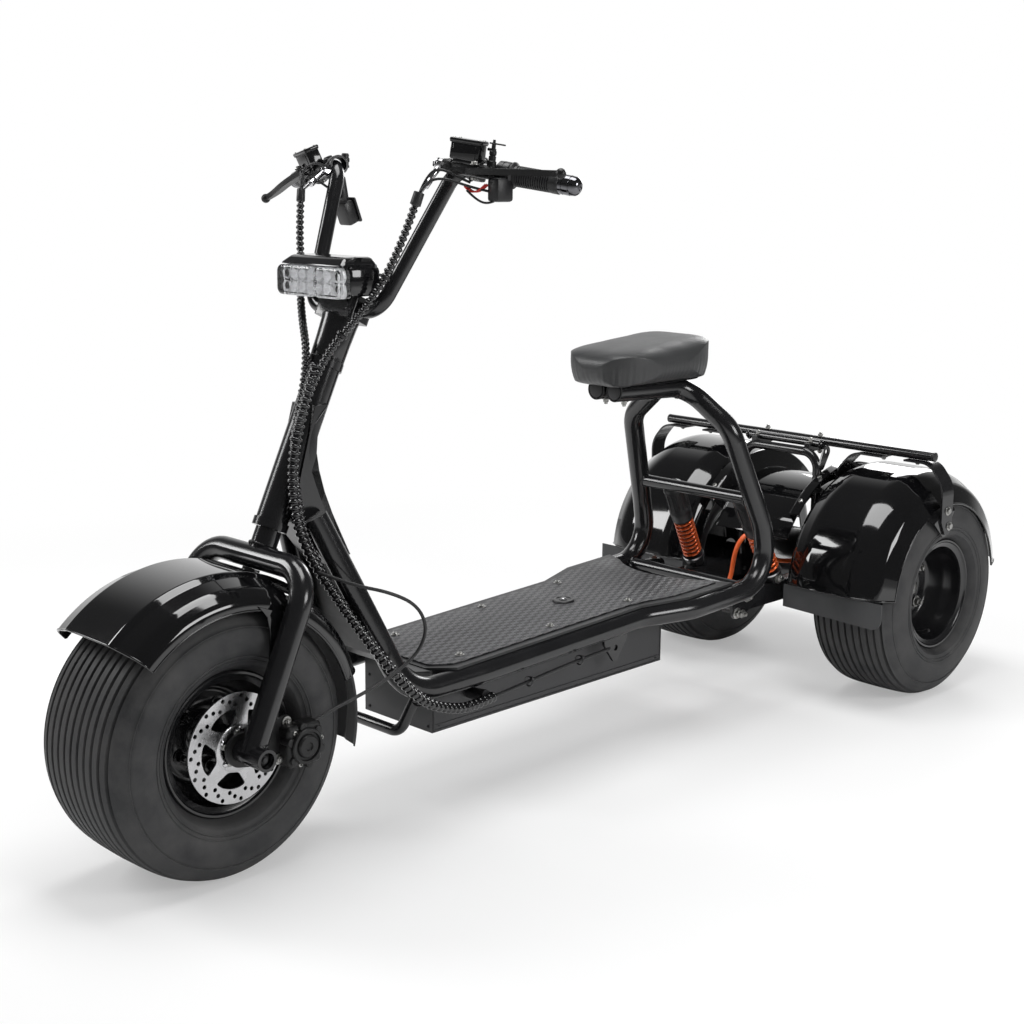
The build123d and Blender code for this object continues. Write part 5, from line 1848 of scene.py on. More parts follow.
    def left_switches(self) -> None:
        """Left cluster: adjuster post with its nut and pin, buttons, red wires and the switch's back."""
        at = self.layout.at
        ahead, along, rise = self.axes(0.214)
        foot = self.spot(0.214, 0.020, 0.006, 0.010)
        post = [
            (0.0, 0.0), (0.0, 0.0075), (0.008, 0.0075), (0.0095, 0.0060), (0.016, 0.0060), (0.0165, 0.0048),
            (0.028, 0.0048), (0.0285, 0.0034), (0.036, 0.0034), (0.0365, 0.0026), (0.042, 0.0022),
            (0.042, 0.0),
        ]
        pieces = [Bench.turned("post", foot, rise, post, steps=24)]
        pieces.append(hex_nut("nut", foot + rise * 0.0175, rise, 0.0135, 0.0075))
        pieces.append(
            Bench.rod(
                "pin", foot + rise * 0.036 - along * 0.008, foot + rise * 0.036 + along * 0.021, 0.0013,
                sides=10, bevel=0.0003,
            )
        )
        pieces.append(
            Bench.rod(
                "pin", foot + rise * 0.026 - along * 0.010, foot + rise * 0.026 + along * 0.004, 0.0024,
                sides=12, bevel=0.0004,
            )
        )
        for shift, tall in ((-0.018, 0.026), (-0.032, 0.020)):
            seat = self.spot(0.214, 0.024, shift, 0.008)
            drum = [
                (0.0, 0.0), (0.0, 0.0062), (tall * 0.5, 0.0062), (tall * 0.55, 0.0050), (tall * 0.95, 0.0050),
                (tall, 0.0042), (tall, 0.0),
            ]
            pieces.append(Bench.turned("drum", seat, rise, drum, steps=20))
        self.group("left_adjusters", pieces, Look.CAST, Body.STEERING)
        clamp = self.spot(0.236, 0.0, 0.0, 0.0)
        shell = [
            (-0.0115, 0.0132), (-0.0115, 0.0188), (-0.0100, 0.0202), (-0.0010, 0.0205), (-0.0006, 0.0196),
            (0.0006, 0.0196), (0.0010, 0.0205), (0.0100, 0.0202), (0.0115, 0.0188), (0.0115, 0.0132),
        ]
        body = Bench.turned("shell", clamp, along, shell, steps=40, closed=True)
        block = Bench.block("block", at(1.228, 0.244, 1.093), (0.036, 0.026, 0.038), bevel=0.005)
        rocker = Bench.block("rocker", at(1.2095, 0.244, 1.093), (0.005, 0.014, 0.020), bevel=0.0018)
        horn = Bench.rod(
            "horn", at(1.212, 0.244, 1.1085), at(1.2065, 0.244, 1.1085), 0.0055, sides=20, bevel=0.0012
        )
        self.group("left_switch_shell", [body, block, rocker, horn], Look.PLASTIC, Body.STEERING)
        thumb = Bench.block(
            "thumb", self.spot(0.236, -0.021, 0.0, 0.008), (0.007, 0.010, 0.012), (ahead, rise), bevel=0.0025
        )
        self.fit(named(thumb, "turn_switch"), Look.RED_WIRE, Body.STEERING)
        wires = []
        for shift in (0.0, 0.004, 0.008):
            start = at(1.262 - shift, 0.196, 1.098)
            wires.append(
                Bench.tube(
                    "wire",
                    [
                        start, start + Vector((0.002, 0.012, -0.009)),
                        start + Vector((-0.006, 0.026, -0.008)), start + Vector((-0.012, 0.036, 0.004)),
                    ],
                    0.0026, resolution=8,
                )
            )
        self.group("lever_switch_wires", wires, Look.RED_WIRE, Body.STEERING)

    def right_controls(self) -> None:
        """Right cluster: display with its glass, switch body, knob and throttle body."""
        at = self.layout.at
        lean_x, lean_z = Vector((1, 0, -0.4)), Vector((0.4, 0, 1))
        bezel = Bench.block(
            "bezel", at(1.2005, -0.160, 1.0515), (0.006, 0.036, 0.046), (lean_x, lean_z), bevel=0.003
        )
        glass = Bench.block(
            "glass", at(1.1972, -0.160, 1.0528), (0.0025, 0.027, 0.028), (lean_x, lean_z), bevel=0.001
        )
        self.group("display_bezel", [bezel], Look.PLASTIC, Body.STEERING)
        self.group("display_glass", [glass], Look.GLOSS_PLASTIC, Body.STEERING)
        ring_shell = [
            (-0.010, 0.0132), (-0.010, 0.0162), (-0.008, 0.0174), (0.008, 0.0174), (0.010, 0.0162),
            (0.010, 0.0132),
        ]
        bar_run = (self.bar(-0.172) - self.bar(-0.152)).normalized()
        parts = [
            Bench.turned("ring", self.bar(-0.162), bar_run, ring_shell, steps=40, closed=True),
            Bench.block(
                "arm", at(1.220, -0.160, 1.080), (0.013, 0.015, 0.060),
                (Vector((1, 0, -0.2)), Vector((0.2, 0, 1))), bevel=0.004,
            ),
            Bench.block(
                "case", at(1.214, -0.160, 1.046), (0.023, 0.033, 0.043), (lean_x, lean_z), bevel=0.005
            ),
        ]
        self.group("right_switch_shell", parts, Look.PLASTIC, Body.STEERING, "switch_blocks")
        boss = [
            (0.0, 0.0), (0.0, 0.0078), (0.004, 0.0078), (0.0045, 0.0068), (0.010, 0.0068), (0.0105, 0.0080),
            (0.0165, 0.0080), (0.0170, 0.0068), (0.023, 0.0068), (0.025, 0.0055), (0.025, 0.0),
        ]
        knob = Bench.turned("knob", at(1.214, -0.162, 1.124), Vector((-0.05, 0, 1)), boss, steps=28)
        self.fit(named(knob, "right_knob"), Look.PLASTIC, Body.STEERING)
        throttle = self.bar(-0.240)
        along = (self.bar(-0.331) - self.bar(-0.25)).normalized()
        body = [
            (-0.006, 0.0132), (-0.006, 0.0168), (-0.004, 0.0180), (0.004, 0.0180), (0.006, 0.0168),
            (0.006, 0.0132),
        ]
        ring = Bench.turned("throttle", throttle, along, body, steps=40, closed=True)
        self.fit(named(ring, "throttle_body"), Look.PLASTIC, Body.STEERING)

    def clamp(self) -> None:
        """Screws of the bar clamp and the tapered cover of the stem."""
        layout = self.layout
        height = 0.738
        screws = []
        for ahead in (0.0165, -0.0165):
            for side in (1, -1):
                seat = layout.steered(ahead, side * 0.0385, height + 0.0198)
                screws.append(socket_screw("screw", seat, layout.steer_axis, 0.0105, 0.006))
        self.group("clamp_screws", screws, Look.ZINC, Body.STEERING)
        taper = [
            (0.0, 0.0215), (0.0, 0.0284), (0.0010, 0.0290), (0.0300, 0.0296), (0.0620, 0.0312),
            (0.0700, 0.0322), (0.0712, 0.0314), (0.0712, 0.0215),
        ]
        cover = Bench.turned(
            "cover", layout.steered(0, 0, 0.6495), layout.steer_axis, taper, steps=56, closed=True
        )
        self.fit(named(cover, "stem_cover"), Look.FRAME_BLACK, Body.STEERING)


CONDUIT_HEADS: dict[str, Point] = {"left": (1.311, 0.140, 1.082), "right": (1.322, -0.150, 1.082)}


# ---------------------------------------------------------------------------------- frame and deck
@dataclass
class FrameTrim(Assembly):
    """Weld beads, deck mat with its bolts and plug, case seams, seat fixings and the neck gusset."""

    tilt_deg: float = 2.5
    rail_height: float = 0.2435
    rail_station: float = 1.139
    deck_lift: float = 0.0264

    def rail_z(self, ahead: float) -> float:
        """Height of the rail's centre line."""
        return self.rail_height + (
            self.rail_station - ahead
        ) * sin(radians(self.tilt_deg)) / cos(radians(self.tilt_deg))

    def deck_up(self) -> Vector:
        """Direction that stands on the deck plate."""
        tilt = radians(self.tilt_deg)
        return Vector((sin(tilt), 0, cos(tilt)))

    def deck(self, ahead: float, left: float, lift: float = 0.0) -> Vector:
        """Point on the deck plate's top."""
        up = self.deck_up()
        return self.layout.at(ahead, left, self.rail_z(ahead)) + up * (self.deck_lift + lift)

    def build(self) -> None:
        """Build every piece of the frame's trim."""
        self.mat()
        self.deck_bolts()
        self.welds()
        self.case_trim()
        self.seat_fixings()
        self.pivot_bolts()
        self.neck_gusset()

    def mat(self) -> None:
        """Mat cut to the deck's outline, with a rounded edge."""
        outline = [
            (1.238, 0.0), (1.238, 0.084), (1.205, 0.1120), (1.180, 0.1150), (0.735, 0.1160), (0.690, 0.1240),
            (0.625, 0.1420), (0.560, 0.1450), (0.498, 0.1450), (0.503, 0.122), (0.520, 0.086), (0.536, 0.040),
            (0.540, 0.0),
        ]
        lift = 0.0004
        points = [self.deck(x, y, lift) for x, y in outline]
        points += [self.deck(x, -y, lift) for x, y in reversed(outline[1:-1])]
        up = self.deck_up() * 0.0024
        mat = Bench.sheet(points, up)
        Bench.soften(mat, 0.0008, segments=2)
        mat = Bench.settle(mat, "deck_mat")
        self.fit(mat, Look.MAT, Body.FRAME)

    def deck_bolts(self) -> None:
        """Screws round the deck and the round plug over the charge socket."""
        up = self.deck_up()
        screws = []
        for x, y in (
            (1.165, 0.088), (1.165, -0.088), (0.935, 0.093), (0.935, -0.093), (0.715, 0.096), (0.715, -0.096)
        ):
            seat = self.deck(x, y, 0.0026)
            screws.append(Bench.rod("washer", seat, seat + up * 0.0012, 0.0085, sides=28, bevel=0.0004))
            screws.append(socket_screw("screw", seat + up * 0.001, up, 0.0115, 0.0042))
        self.group("deck_screws", screws, Look.ZINC, Body.FRAME)
        plug = [
            (0.0, 0.0), (0.0, 0.0225), (0.002, 0.0225), (0.0042, 0.0205), (0.0042, 0.0165), (0.003, 0.0150),
            (0.003, 0.0085), (0.0042, 0.0075), (0.0042, 0.0),
        ]
        cover = Bench.turned("deck_plug", self.deck(0.800, 0.0, 0.0024), up, plug, steps=48)
        self.fit(cover, Look.PLASTIC, Body.FRAME)
        stud = socket_screw("deck_plug_stud", self.deck(0.800, 0.0, 0.0064), up, 0.009, 0.0024)
        self.fit(named(stud, "deck_plug_stud"), Look.STEEL, Body.FRAME)

    def ring(
        self, centre: Vector, axis: Vector, radius: float, lean: float = 0.0, count: int = 22
    ) -> list[Vector]:
        """Points of a closed ring about an axis."""
        axis = axis.normalized()
        across = axis.orthogonal().normalized()
        third = axis.cross(across)
        points = []
        for step in range(count + 1):
            turn = 2 * pi * step / count
            points.append(
                centre + across * radius * cos(turn) + third * radius * sin(turn) + axis * lean * cos(
                    2 * turn
                )
            )
        return points

    def welds(self) -> None:
        """Beads where the cross tubes and the guard hoop are welded."""
        at = self.layout.at
        beads = []
        for ahead, height in ((0.396, 0.459), (0.560, self.rail_z(0.560)), (0.420, self.rail_z(0.420))):
            for side in (1, -1):
                inner = {0.396: 0.1365, 0.560: 0.1445, 0.420: 0.1445}[ahead]
                beads.append(
                    weld_bead("bead", self.ring(at(ahead, side * inner, height), LEFT, 0.0136, 0.002), 0.005)
                )
        for side in (1, -1):
            foot = at(1.2885, side * 0.1105, self.rail_z(1.2885) - 0.021)
            beads.append(
                weld_bead("bead", self.ring(foot, Vector((0.17, -side * 0.3, -1)), 0.0106, 0.002), 0.0045)
            )
        self.group("frame_welds", beads, Look.FRAME_BLACK, Body.FRAME)

    def case_trim(self) -> None:
        """Folded seams, corner screws and the side strip of the battery case."""
        at = self.layout.at
        low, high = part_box("battery_case")
        pieces = []
        half = high.y
        for side in (1, -1):
            y = side * (half + 0.0004)
            for z in (low.z + 0.0035, low.z + 0.0135):
                start, end = Vector((low.x + 0.004, y, z + 0.002)), Vector((high.x - 0.004, y, z))
                pieces.append(Bench.rod("seam", start, end, 0.0010 if z > low.z + 0.01 else 0.0018, sides=8))
            for x in (low.x + 0.003, high.x - 0.003):
                pieces.append(
                    Bench.rod(
                        "corner", Vector((x, y, low.z + 0.004)), Vector((x, y, low.z + 0.078)), 0.0016,
                        sides=8,
                    )
                )
        self.group("case_seams", pieces, Look.CASE_GREY, Body.FRAME)
        screws = []
        for side in (1, -1):
            out = Vector((0, side, 0))
            for x in (low.x + 0.016, high.x - 0.016):
                screws.append(
                    socket_screw("screw", Vector((x, side * half, low.z + 0.0120)), out, 0.0052, 0.0012)
                )
        for y in (-0.080, 0.080):
            for z in (0.010, 0.070):
                screws.append(socket_screw("screw", Vector((high.x, y, low.z + z)), AHEAD, 0.0062, 0.0018))
                screws.append(socket_screw("screw", Vector((low.x, y, low.z + z)), -AHEAD, 0.0062, 0.0018))
        self.group("case_screws", screws, Look.PLATE_BLACK, Body.FRAME)
        duct = self.layout.points([(1.150, 0.1405, 0.2035), (1.152, 0.118, 0.2010), (1.150, 0.096, 0.2000)])
        gland = Bench.tube("conduit_gland", duct, 0.022, resolution=8)
        self.fit(gland, Look.RUBBER, Body.FRAME)
        ties = []
        for x, y, z in ((1.205, 0.1475, 0.1965), (1.040, 0.140, 0.206), (0.904, 0.140, 0.218)):
            centre = at(x, y, z)
            tie = Bench.turned(
                "tie", centre, AHEAD, [(-0.002, 0.0085), (-0.002, 0.0096), (0.002, 0.0096), (0.002, 0.0085)],
                steps=24, closed=True,
            )
            head = Bench.block(
                "head", centre + Vector((0, 0.0075, 0.0075)), (0.0055, 0.0055, 0.0055), bevel=0.0008
            )
            ties += [tie, head]
        self.group("cable_ties", ties, Look.PLASTIC, Body.FRAME)

    def seat_fixings(self) -> None:
        """Bolts and plates under the saddle, and the plugs in the hoop tubes' mouths."""
        low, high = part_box("seat_base")
        pieces = []
        for x in (low.x + 0.022, high.x - 0.022):
            for side in (1, -1):
                seat = Vector((x, side * 0.024, low.z - 0.0425))
                pieces.append(bolt("bolt", seat, -UP, 0.012, 0.007, stud=0.004))
        self.group("seat_bolts", pieces, Look.ZINC, Body.FRAME)
        plugs = []
        for side in (1, -1):
            end, bend = self.layout.at(0.690, side * 0.024, 0.697), self.layout.at(0.476, side * 0.031, 0.690)
            run = (end - bend).normalized()
            plugs.append(
                Bench.rod("plug", end - run * 0.012, end + run * 0.0012, 0.0168, sides=40, bevel=0.0008)
            )
        self.group("seat_tube_plugs", plugs, Look.RUBBER, Body.FRAME)
        plates = []
        for x in (low.x + 0.022, high.x - 0.022):
            plates.append(
                Bench.block("plate", Vector((x, 0, low.z + 0.002)), (0.026, 0.108, 0.004), bevel=0.001)
            )
        self.group("seat_rail_plates", plates, Look.PLATE_BLACK, Body.FRAME)

    def pivot_bolts(self) -> None:
        """Bolts through the swing frame's pivot plates and the shock absorbers' eyes."""
        at = self.layout.at
        pieces = []
        for side in (1, -1):
            out = Vector((0, side, 0))
            for x, z, across, stud in (
                (0.387, 0.249, 0.017, 0.005), (0.351, 0.271, 0.015, 0.005), (0.4205, 0.2185, 0.017, 0.006),
                (0.402, 0.2140, 0.013, 0.004),
            ):
                pieces.append(bolt("bolt", at(x, side * 0.1423, z), out, across, 0.0085, stud=stud))
            for name, x, z, y, across in (
                ("head", 0.352, 0.448, 0.1095, 0.016), ("foot", 0.250, 0.262, 0.1222, 0.018)
            ):
                pieces.append(bolt(name, at(x, side * y, z), out, across, 0.008, stud=0.004))
        self.group("pivot_bolts", pieces, Look.ZINC, Body.FRAME)

    def neck_gusset(self) -> None:
        """Lower fill and two side cheeks for the sheet in the bend behind the neck."""
        back = [
            (1.4125, 0.7415), (1.4270, 0.7150), (1.4350, 0.6900), (1.4375, 0.6620), (1.4330, 0.6330),
            (1.4220, 0.5950), (1.4060, 0.5560), (1.3860, 0.5150), (1.3680, 0.4790),
        ]
        front = [(1.3900, 0.4840), (1.4300, 0.5450), (1.4600, 0.6150), (1.4620, 0.6650), (1.4500, 0.7050)]
        fill = [(1.3900, 0.4840), (1.4400, 0.5600), (1.4530, 0.6150), (1.4510, 0.6330), (1.4393, 0.6610)]
        half, sheet = 0.0305, 0.0040
        folds = [
            self.slab(back[3:] + fill, -half, half),
            self.slab(back + front, half - sheet, half),
            self.slab(back + front, -half, sheet - half),
        ]
        self.group("neck_gusset", folds, Look.FRAME_BLACK, Body.FRAME)

    def slab(self, outline: list[tuple[float, float]], low: float, high: float) -> Object:
        """Sheet of a side outline, given in stations, between two distances to the left."""
        plate = Bench.sheet([self.layout.at(x, low, z) for x, z in outline], (0, high - low, 0))
        Bench.soften(plate, 0.0018, segments=3, sharp_deg=50.0)
        return Bench.settle(plate, "plate")


# ------------------------------------------------------------------------------------------- saddle
@dataclass
class Saddle(Assembly):
    """Stuffed vinyl saddle with a gathered skirt and a rolled bottom."""

    voxel: float = 0.005
    pressure: float = 0.8
    rubs: int = 45
    shrink: float = 0.006
    cap: float = 0.003
    frames: int = 20
    crown: float = 0.004
    shoulder: float = 0.038
    wrap: float = 0.0085
    tuck: float = 0.012
    oval: float = 2.7

    def build(self) -> None:
        """Start from the plain cushion, fill it, gather it and draw its skirt down."""
        low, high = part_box("seat_cushion")
        cushion = self.blank(low, high)
        self.fill(cushion)
        self.gather(cushion, low, high)
        self.keep_inside(cushion, low, high)
        cushion = Bench.settle(cushion, "saddle", 60.0)
        self.fit(cushion, Look.VINYL, Body.FRAME, "seat_cushion")

    def blank(self, low: Vector, high: Vector) -> Object:
        """Copy of the plain cushion, merged, drawn in and remeshed."""
        source = frame["nodes"]["seat_cushion"]
        made = bpy.data.objects.new("saddle", source.data.copy())
        bpy.context.collection.objects.link(made)
        Bench.hold(made)
        bpy.ops.object.mode_set(mode="EDIT")
        bpy.ops.mesh.select_all(action="SELECT")
        bpy.ops.mesh.remove_doubles(threshold=0.00005)
        middle = (low + high) / 2
        size = high - low
        bpy.ops.transform.resize(
            value=(
                1 - 2 * self.shrink / size.x, 1 - 2 * self.shrink / size.y, 1 - 1.4 * self.shrink / size.z
            ),
            center_override=middle,
        )
        bpy.ops.object.mode_set(mode="OBJECT")
        Bench.apply(made, "REMESH", mode="VOXEL", voxel_size=self.voxel, use_smooth_shade=True)
        return made

    def fill(self, cushion: Object) -> None:
        """Swell the cover by cloth simulation and limit how far each point moves."""
        rest = [vertex.co.copy() for vertex in cushion.data.vertices]
        cloth = cushion.modifiers.new("Cloth", "CLOTH")
        cloth.settings.quality = 5
        cloth.settings.use_pressure = True
        cloth.settings.uniform_pressure_force = self.pressure
        cloth.settings.tension_stiffness = 12
        cloth.settings.compression_stiffness = 12
        cloth.settings.effector_weights.gravity = 0
        scene = bpy.context.scene
        for step in range(1, self.frames + 1):
            scene.frame_set(step)
        Bench.hold(cushion)
        bpy.ops.object.modifier_apply(modifier=cloth.name)
        scene.frame_set(1)
        for vertex, start in zip(cushion.data.vertices, rest):
            move = vertex.co - start
            if move.length > self.cap:
                vertex.co = start + move * (self.cap / move.length)

    def gather(self, cushion: Object, low: Vector, high: Vector) -> None:
        """Smooth and subdivide the cover, then press its gathers, rolled bottom and crown into it."""
        Bench.apply(cushion, "SMOOTH", factor=0.5, iterations=self.rubs)
        spots = [vertex.co.copy() for vertex in cushion.data.vertices]
        least = Vector([min(spot[axis] for spot in spots) for axis in range(3)])
        most = Vector([max(spot[axis] for spot in spots) for axis in range(3)])
        for vertex in cushion.data.vertices:
            for axis in range(3):
                share = (vertex.co[axis] - least[axis]) / (most[axis] - least[axis])
                vertex.co[axis] = low[axis] + share * (high[axis] - low[axis])
        Bench.apply(cushion, "SUBSURF", levels=1, render_levels=1)
        middle = (low + high) / 2
        half_x, half_y = (high.x - low.x) / 2, (high.y - low.y) / 2
        for vertex in cushion.data.vertices:
            place = vertex.co
            u, v = (place.x - middle.x) / half_x, (place.y - middle.y) / half_y
            edge = max(abs(u) ** 4 + abs(v) ** 4, 0.0) ** 0.25
            height = (place.z - low.z) / (high.z - low.z)
            corner = min(abs(u), abs(v)) * edge
            turn = atan2(v * half_y, u * half_x)
            outward = Vector((u * half_y, v * half_x, 0.0)).normalized() if edge > 0.1 else Vector((0, 0, 0))
            if edge > 0.8:
                skirt = max(0.0, 1.0 - height / 0.62) * min((edge - 0.8) / 0.15, 1.0)
                strength = 0.35 + 1.3 * max(0.0, corner - 0.25)
                ripple = sin(turn * 58.0 + 1.7 * sin(turn * 5.0)) * 0.5 + sin(
                    turn * 91.0 + 2.1 * cos(turn * 3.0)
                ) * 0.35
                place += outward * (ripple * 0.0016 * strength * skirt)
                roll = max(0.0, 1.0 - height / 0.5)
                place -= outward * (self.tuck * roll * roll)
            lobe = (abs(u) ** self.oval + abs(v) ** self.oval) ** (1 / self.oval)
            if lobe > 1.0:
                place.x = middle.x + (place.x - middle.x) / lobe
                place.y = middle.y + (place.y - middle.y) / lobe
            if height > 0.6:
                dome = max(0.0, 1.0 - edge**2)
                place.z += self.crown * dome
        cushion.data.update()

    def keep_inside(self, cushion: Object, low: Vector, high: Vector) -> None:
        """Keep the cover near the plain cushion and draw its skirt down over the base plate."""
        for vertex in cushion.data.vertices:
            place = vertex.co
            place.x = min(max(place.x, low.x - 0.004), high.x + 0.004)
            place.y = min(max(place.y, low.y - 0.004), high.y + 0.004)
            if place.z < high.z - self.shoulder:
                share = (high.z - self.shoulder - place.z) / (high.z - self.shoulder - low.z)
                place.z -= self.wrap * share
        cushion.data.update()


# ----------------------------------------------------------------------------------------- rear end
@dataclass
class RearEnd(Assembly):
    """Fender lips, strap bolts, rack fixings, shock covers and springs, tail lamp and panel trim."""

    fender_radius: float = 0.268
    skirt_radius: float = 0.200
    skirt_y: float = 0.382
    inner_y: float = 0.1375
    back_deg: float = 80.0
    front_deg: float = 84.0
    edge_wire: float = 0.0046
    rack_z: float = 0.534
    rack_x: float = 0.0415

    def around(self, radius: float, y: float, degrees: float) -> Vector:
        """Point round the rear axle: 0 straight up, positive to the front."""
        turn = radians(degrees)
        return self.layout.rear + Vector((radius * sin(turn), y, radius * cos(turn)))

    def build(self) -> None:
        """Build every piece of the rear end."""
        for side, word in ((1, "left"), (-1, "right")):
            self.fender_edges(side, word)
            self.fender_screws(side, word)
        self.rack_fixings()
        self.rack_plugs()
        self.shocks()
        self.tail_lamp()
        self.panel_trim()
        self.motor_trim()

    def fender_edges(self, side: int, word: str) -> None:
        """Rolled wire round one fender: along its skirt, its inner edge and both ends."""
        count = 26
        span = self.back_deg + self.front_deg
        arcs = []
        for radius, y in (
            (self.skirt_radius + 0.0006, self.skirt_y), (self.fender_radius - 0.0615, self.inner_y)
        ):
            arcs.append(
                [
                    self.around(radius, side * y, -self.back_deg + span * step / count)
                    for step in range(count + 1)
                ]
            )
        section = [
            (self.fender_radius - 0.0615, self.inner_y),
            (self.fender_radius - 0.036, self.inner_y + 0.0005),
            (self.fender_radius - 0.0165, self.inner_y + 0.0075),
            (self.fender_radius - 0.0070, self.inner_y + 0.0265),
            (self.fender_radius - 0.0015, 0.205),
            (self.fender_radius - 0.0015, 0.300),
            (self.fender_radius - 0.0085, 0.336),
            (self.fender_radius - 0.0295, 0.362),
            (self.skirt_radius + 0.030, 0.373),
            (self.skirt_radius + 0.0006, self.skirt_y),
        ]
        for turn in (-self.back_deg, self.front_deg):
            arcs.append([self.around(radius, side * y, turn) for radius, y in section])
        wires = [Bench.tube("wire", points, self.edge_wire, resolution=4) for points in arcs]
        self.group(f"{word}_fender_edge", wires, Look.GLOSS_BLACK, Body.FRAME)

    def fender_screws(self, side: int, word: str) -> None:
        """Bolts through the outer strap's tongue, the inner strap and the flap."""
        at, out = self.layout.at, Vector((0, side, 0))
        pieces = []
        for x, z in ((0.039, 0.423), (0.030, 0.389)):
            pieces.append(bolt("bolt", at(x, side * 0.3998, z), out, 0.0135, 0.0055, stud=0.0))
        for x, z in ((0.050, 0.462), (0.034, 0.449)):
            pieces.append(bolt("bolt", at(x, side * 0.1318, z), -out, 0.0125, 0.006, stud=0.002))
        for y in (0.220, 0.290):
            seat = at(0.2545, side * y, 0.266)
            pieces.append(bolt("bolt", seat, AHEAD, 0.012, 0.0055))
        self.group(f"{word}_fender_bolts", pieces, Look.ZINC, Body.FRAME)

    def rack_fixings(self) -> None:
        """Screws from the straps and stays into the luggage bar, and weld beads on the hoop."""
        at = self.layout.at
        screws, beads = [], []
        for side in (1, -1):
            for y in (0.322, 0.238):
                seat = at(self.rack_x, side * y, self.rack_z - 0.0143)
                screws.append(bolt("bolt", seat, -UP, 0.0115, 0.005, stud=0.002))
            for x, y in ((0.0415, 0.072), (0.078, 0.072)):
                seat = at(x, side * y, self.rack_z + (0.0095 if x < 0.05 else 0.0005))
                screws.append(bolt("bolt", seat, UP, 0.0125, 0.0055, stud=0.004))
                screws.append(
                    bolt("nut", at(x, side * y, self.rack_z - 0.0205), -UP, 0.0125, 0.0055, stud=0.003)
                )
            ring = [
                at(0.075 + 0.0095 * cos(turn), side * 0.098, self.rack_z - 0.003 + 0.0095 * sin(turn))
                for turn in [2 * pi * step / 16 for step in range(17)]
            ]
            beads.append(weld_bead("bead", ring, 0.004))
        self.group("rack_bolts", screws, Look.ZINC, Body.FRAME)
        self.group("rack_welds", beads, Look.FRAME_BLACK, Body.FRAME)

    def rack_plugs(self) -> None:
        """Plastic plugs in the luggage bar's ends."""
        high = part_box("rear_rack")[1]
        plugs = []
        for side in (1, -1):
            seat = self.layout.at(self.rack_x, side * (high.y - 0.0002), self.rack_z)
            profile = [
                (-0.004, 0.0), (-0.004, 0.0101), (0.0005, 0.0101), (0.0016, 0.0090), (0.0020, 0.0060),
                (0.0020, 0.0),
            ]
            plugs.append(Bench.turned("plug", seat, Vector((0, side, 0)), profile, steps=28))
        self.group("rack_plugs", plugs, Look.PLASTIC, Body.FRAME)

    def shocks(self) -> None:
        """Fluted covers, lower collars, closer coils and bump rubbers of both shock absorbers."""
        covers, coils, bright = [], [], []
        for side in (1, -1):
            top = self.layout.at(0.352, side * 0.095, 0.448)
            foot = self.layout.at(0.250, side * 0.108, 0.262)
            down = (foot - top).normalized()
            shell = [
                (-0.010, 0.0), (-0.010, 0.0120), (-0.004, 0.0190), (0.003, 0.0236), (0.012, 0.0240),
                (0.014, 0.0232), (0.060, 0.0232), (0.062, 0.0245), (0.074, 0.0247), (0.076, 0.0236),
                (0.089, 0.0234), (0.0905, 0.0224), (0.0905, 0.0),
            ]
            covers.append(Bench.turned("cover", top, down, shell, steps=40))
            flute = Bench.rod(
                "flute", top + down * 0.016 + down.orthogonal().normalized() * 0.0232,
                top + down * 0.058 + down.orthogonal().normalized() * 0.0232, 0.0018, sides=8,
            )
            covers.append(
                Bench.copies("flutes", flute, [spun(top, down, 2 * pi * step / 14) for step in range(14)])
            )
            length = (foot - top).length - 0.018
            rubber = [
                (0.0900, 0.0), (0.0900, 0.0135), (0.105, 0.0140), (0.112, 0.0115), (0.119, 0.0140),
                (0.128, 0.0120), (0.134, 0.0115), (0.134, 0.0),
            ]
            covers.append(Bench.turned("bump", top, down, rubber, steps=28))
            collar = [
                (length, 0.0), (length, 0.0232), (length + 0.003, 0.0240), (length + 0.006, 0.0215),
                (length + 0.008, 0.0150), (length + 0.008, 0.0),
            ]
            bright.append(Bench.turned("collar", top, down, collar, steps=40))
            across = down.orthogonal().normalized()
            third = down.cross(across)
            start, end, turns = 0.0945, length - 0.004, 9
            points = []
            for step in range(turns * 12 + 1):
                turn = 2 * pi * step / 12
                place = start + (end - start) * step / (turns * 12)
                points.append(top + down * place + across * 0.0196 * cos(turn) + third * 0.0196 * sin(turn))
            coils.append(Bench.tube("coil", points, 0.0066, resolution=2, sides=3))
        self.group("shock_covers", covers, Look.PLASTIC, Body.FRAME)
        self.group("shock_coils", coils, Look.SPRING, Body.FRAME, "shock_springs")
        self.group("shock_collars", bright, Look.STEEL, Body.FRAME)

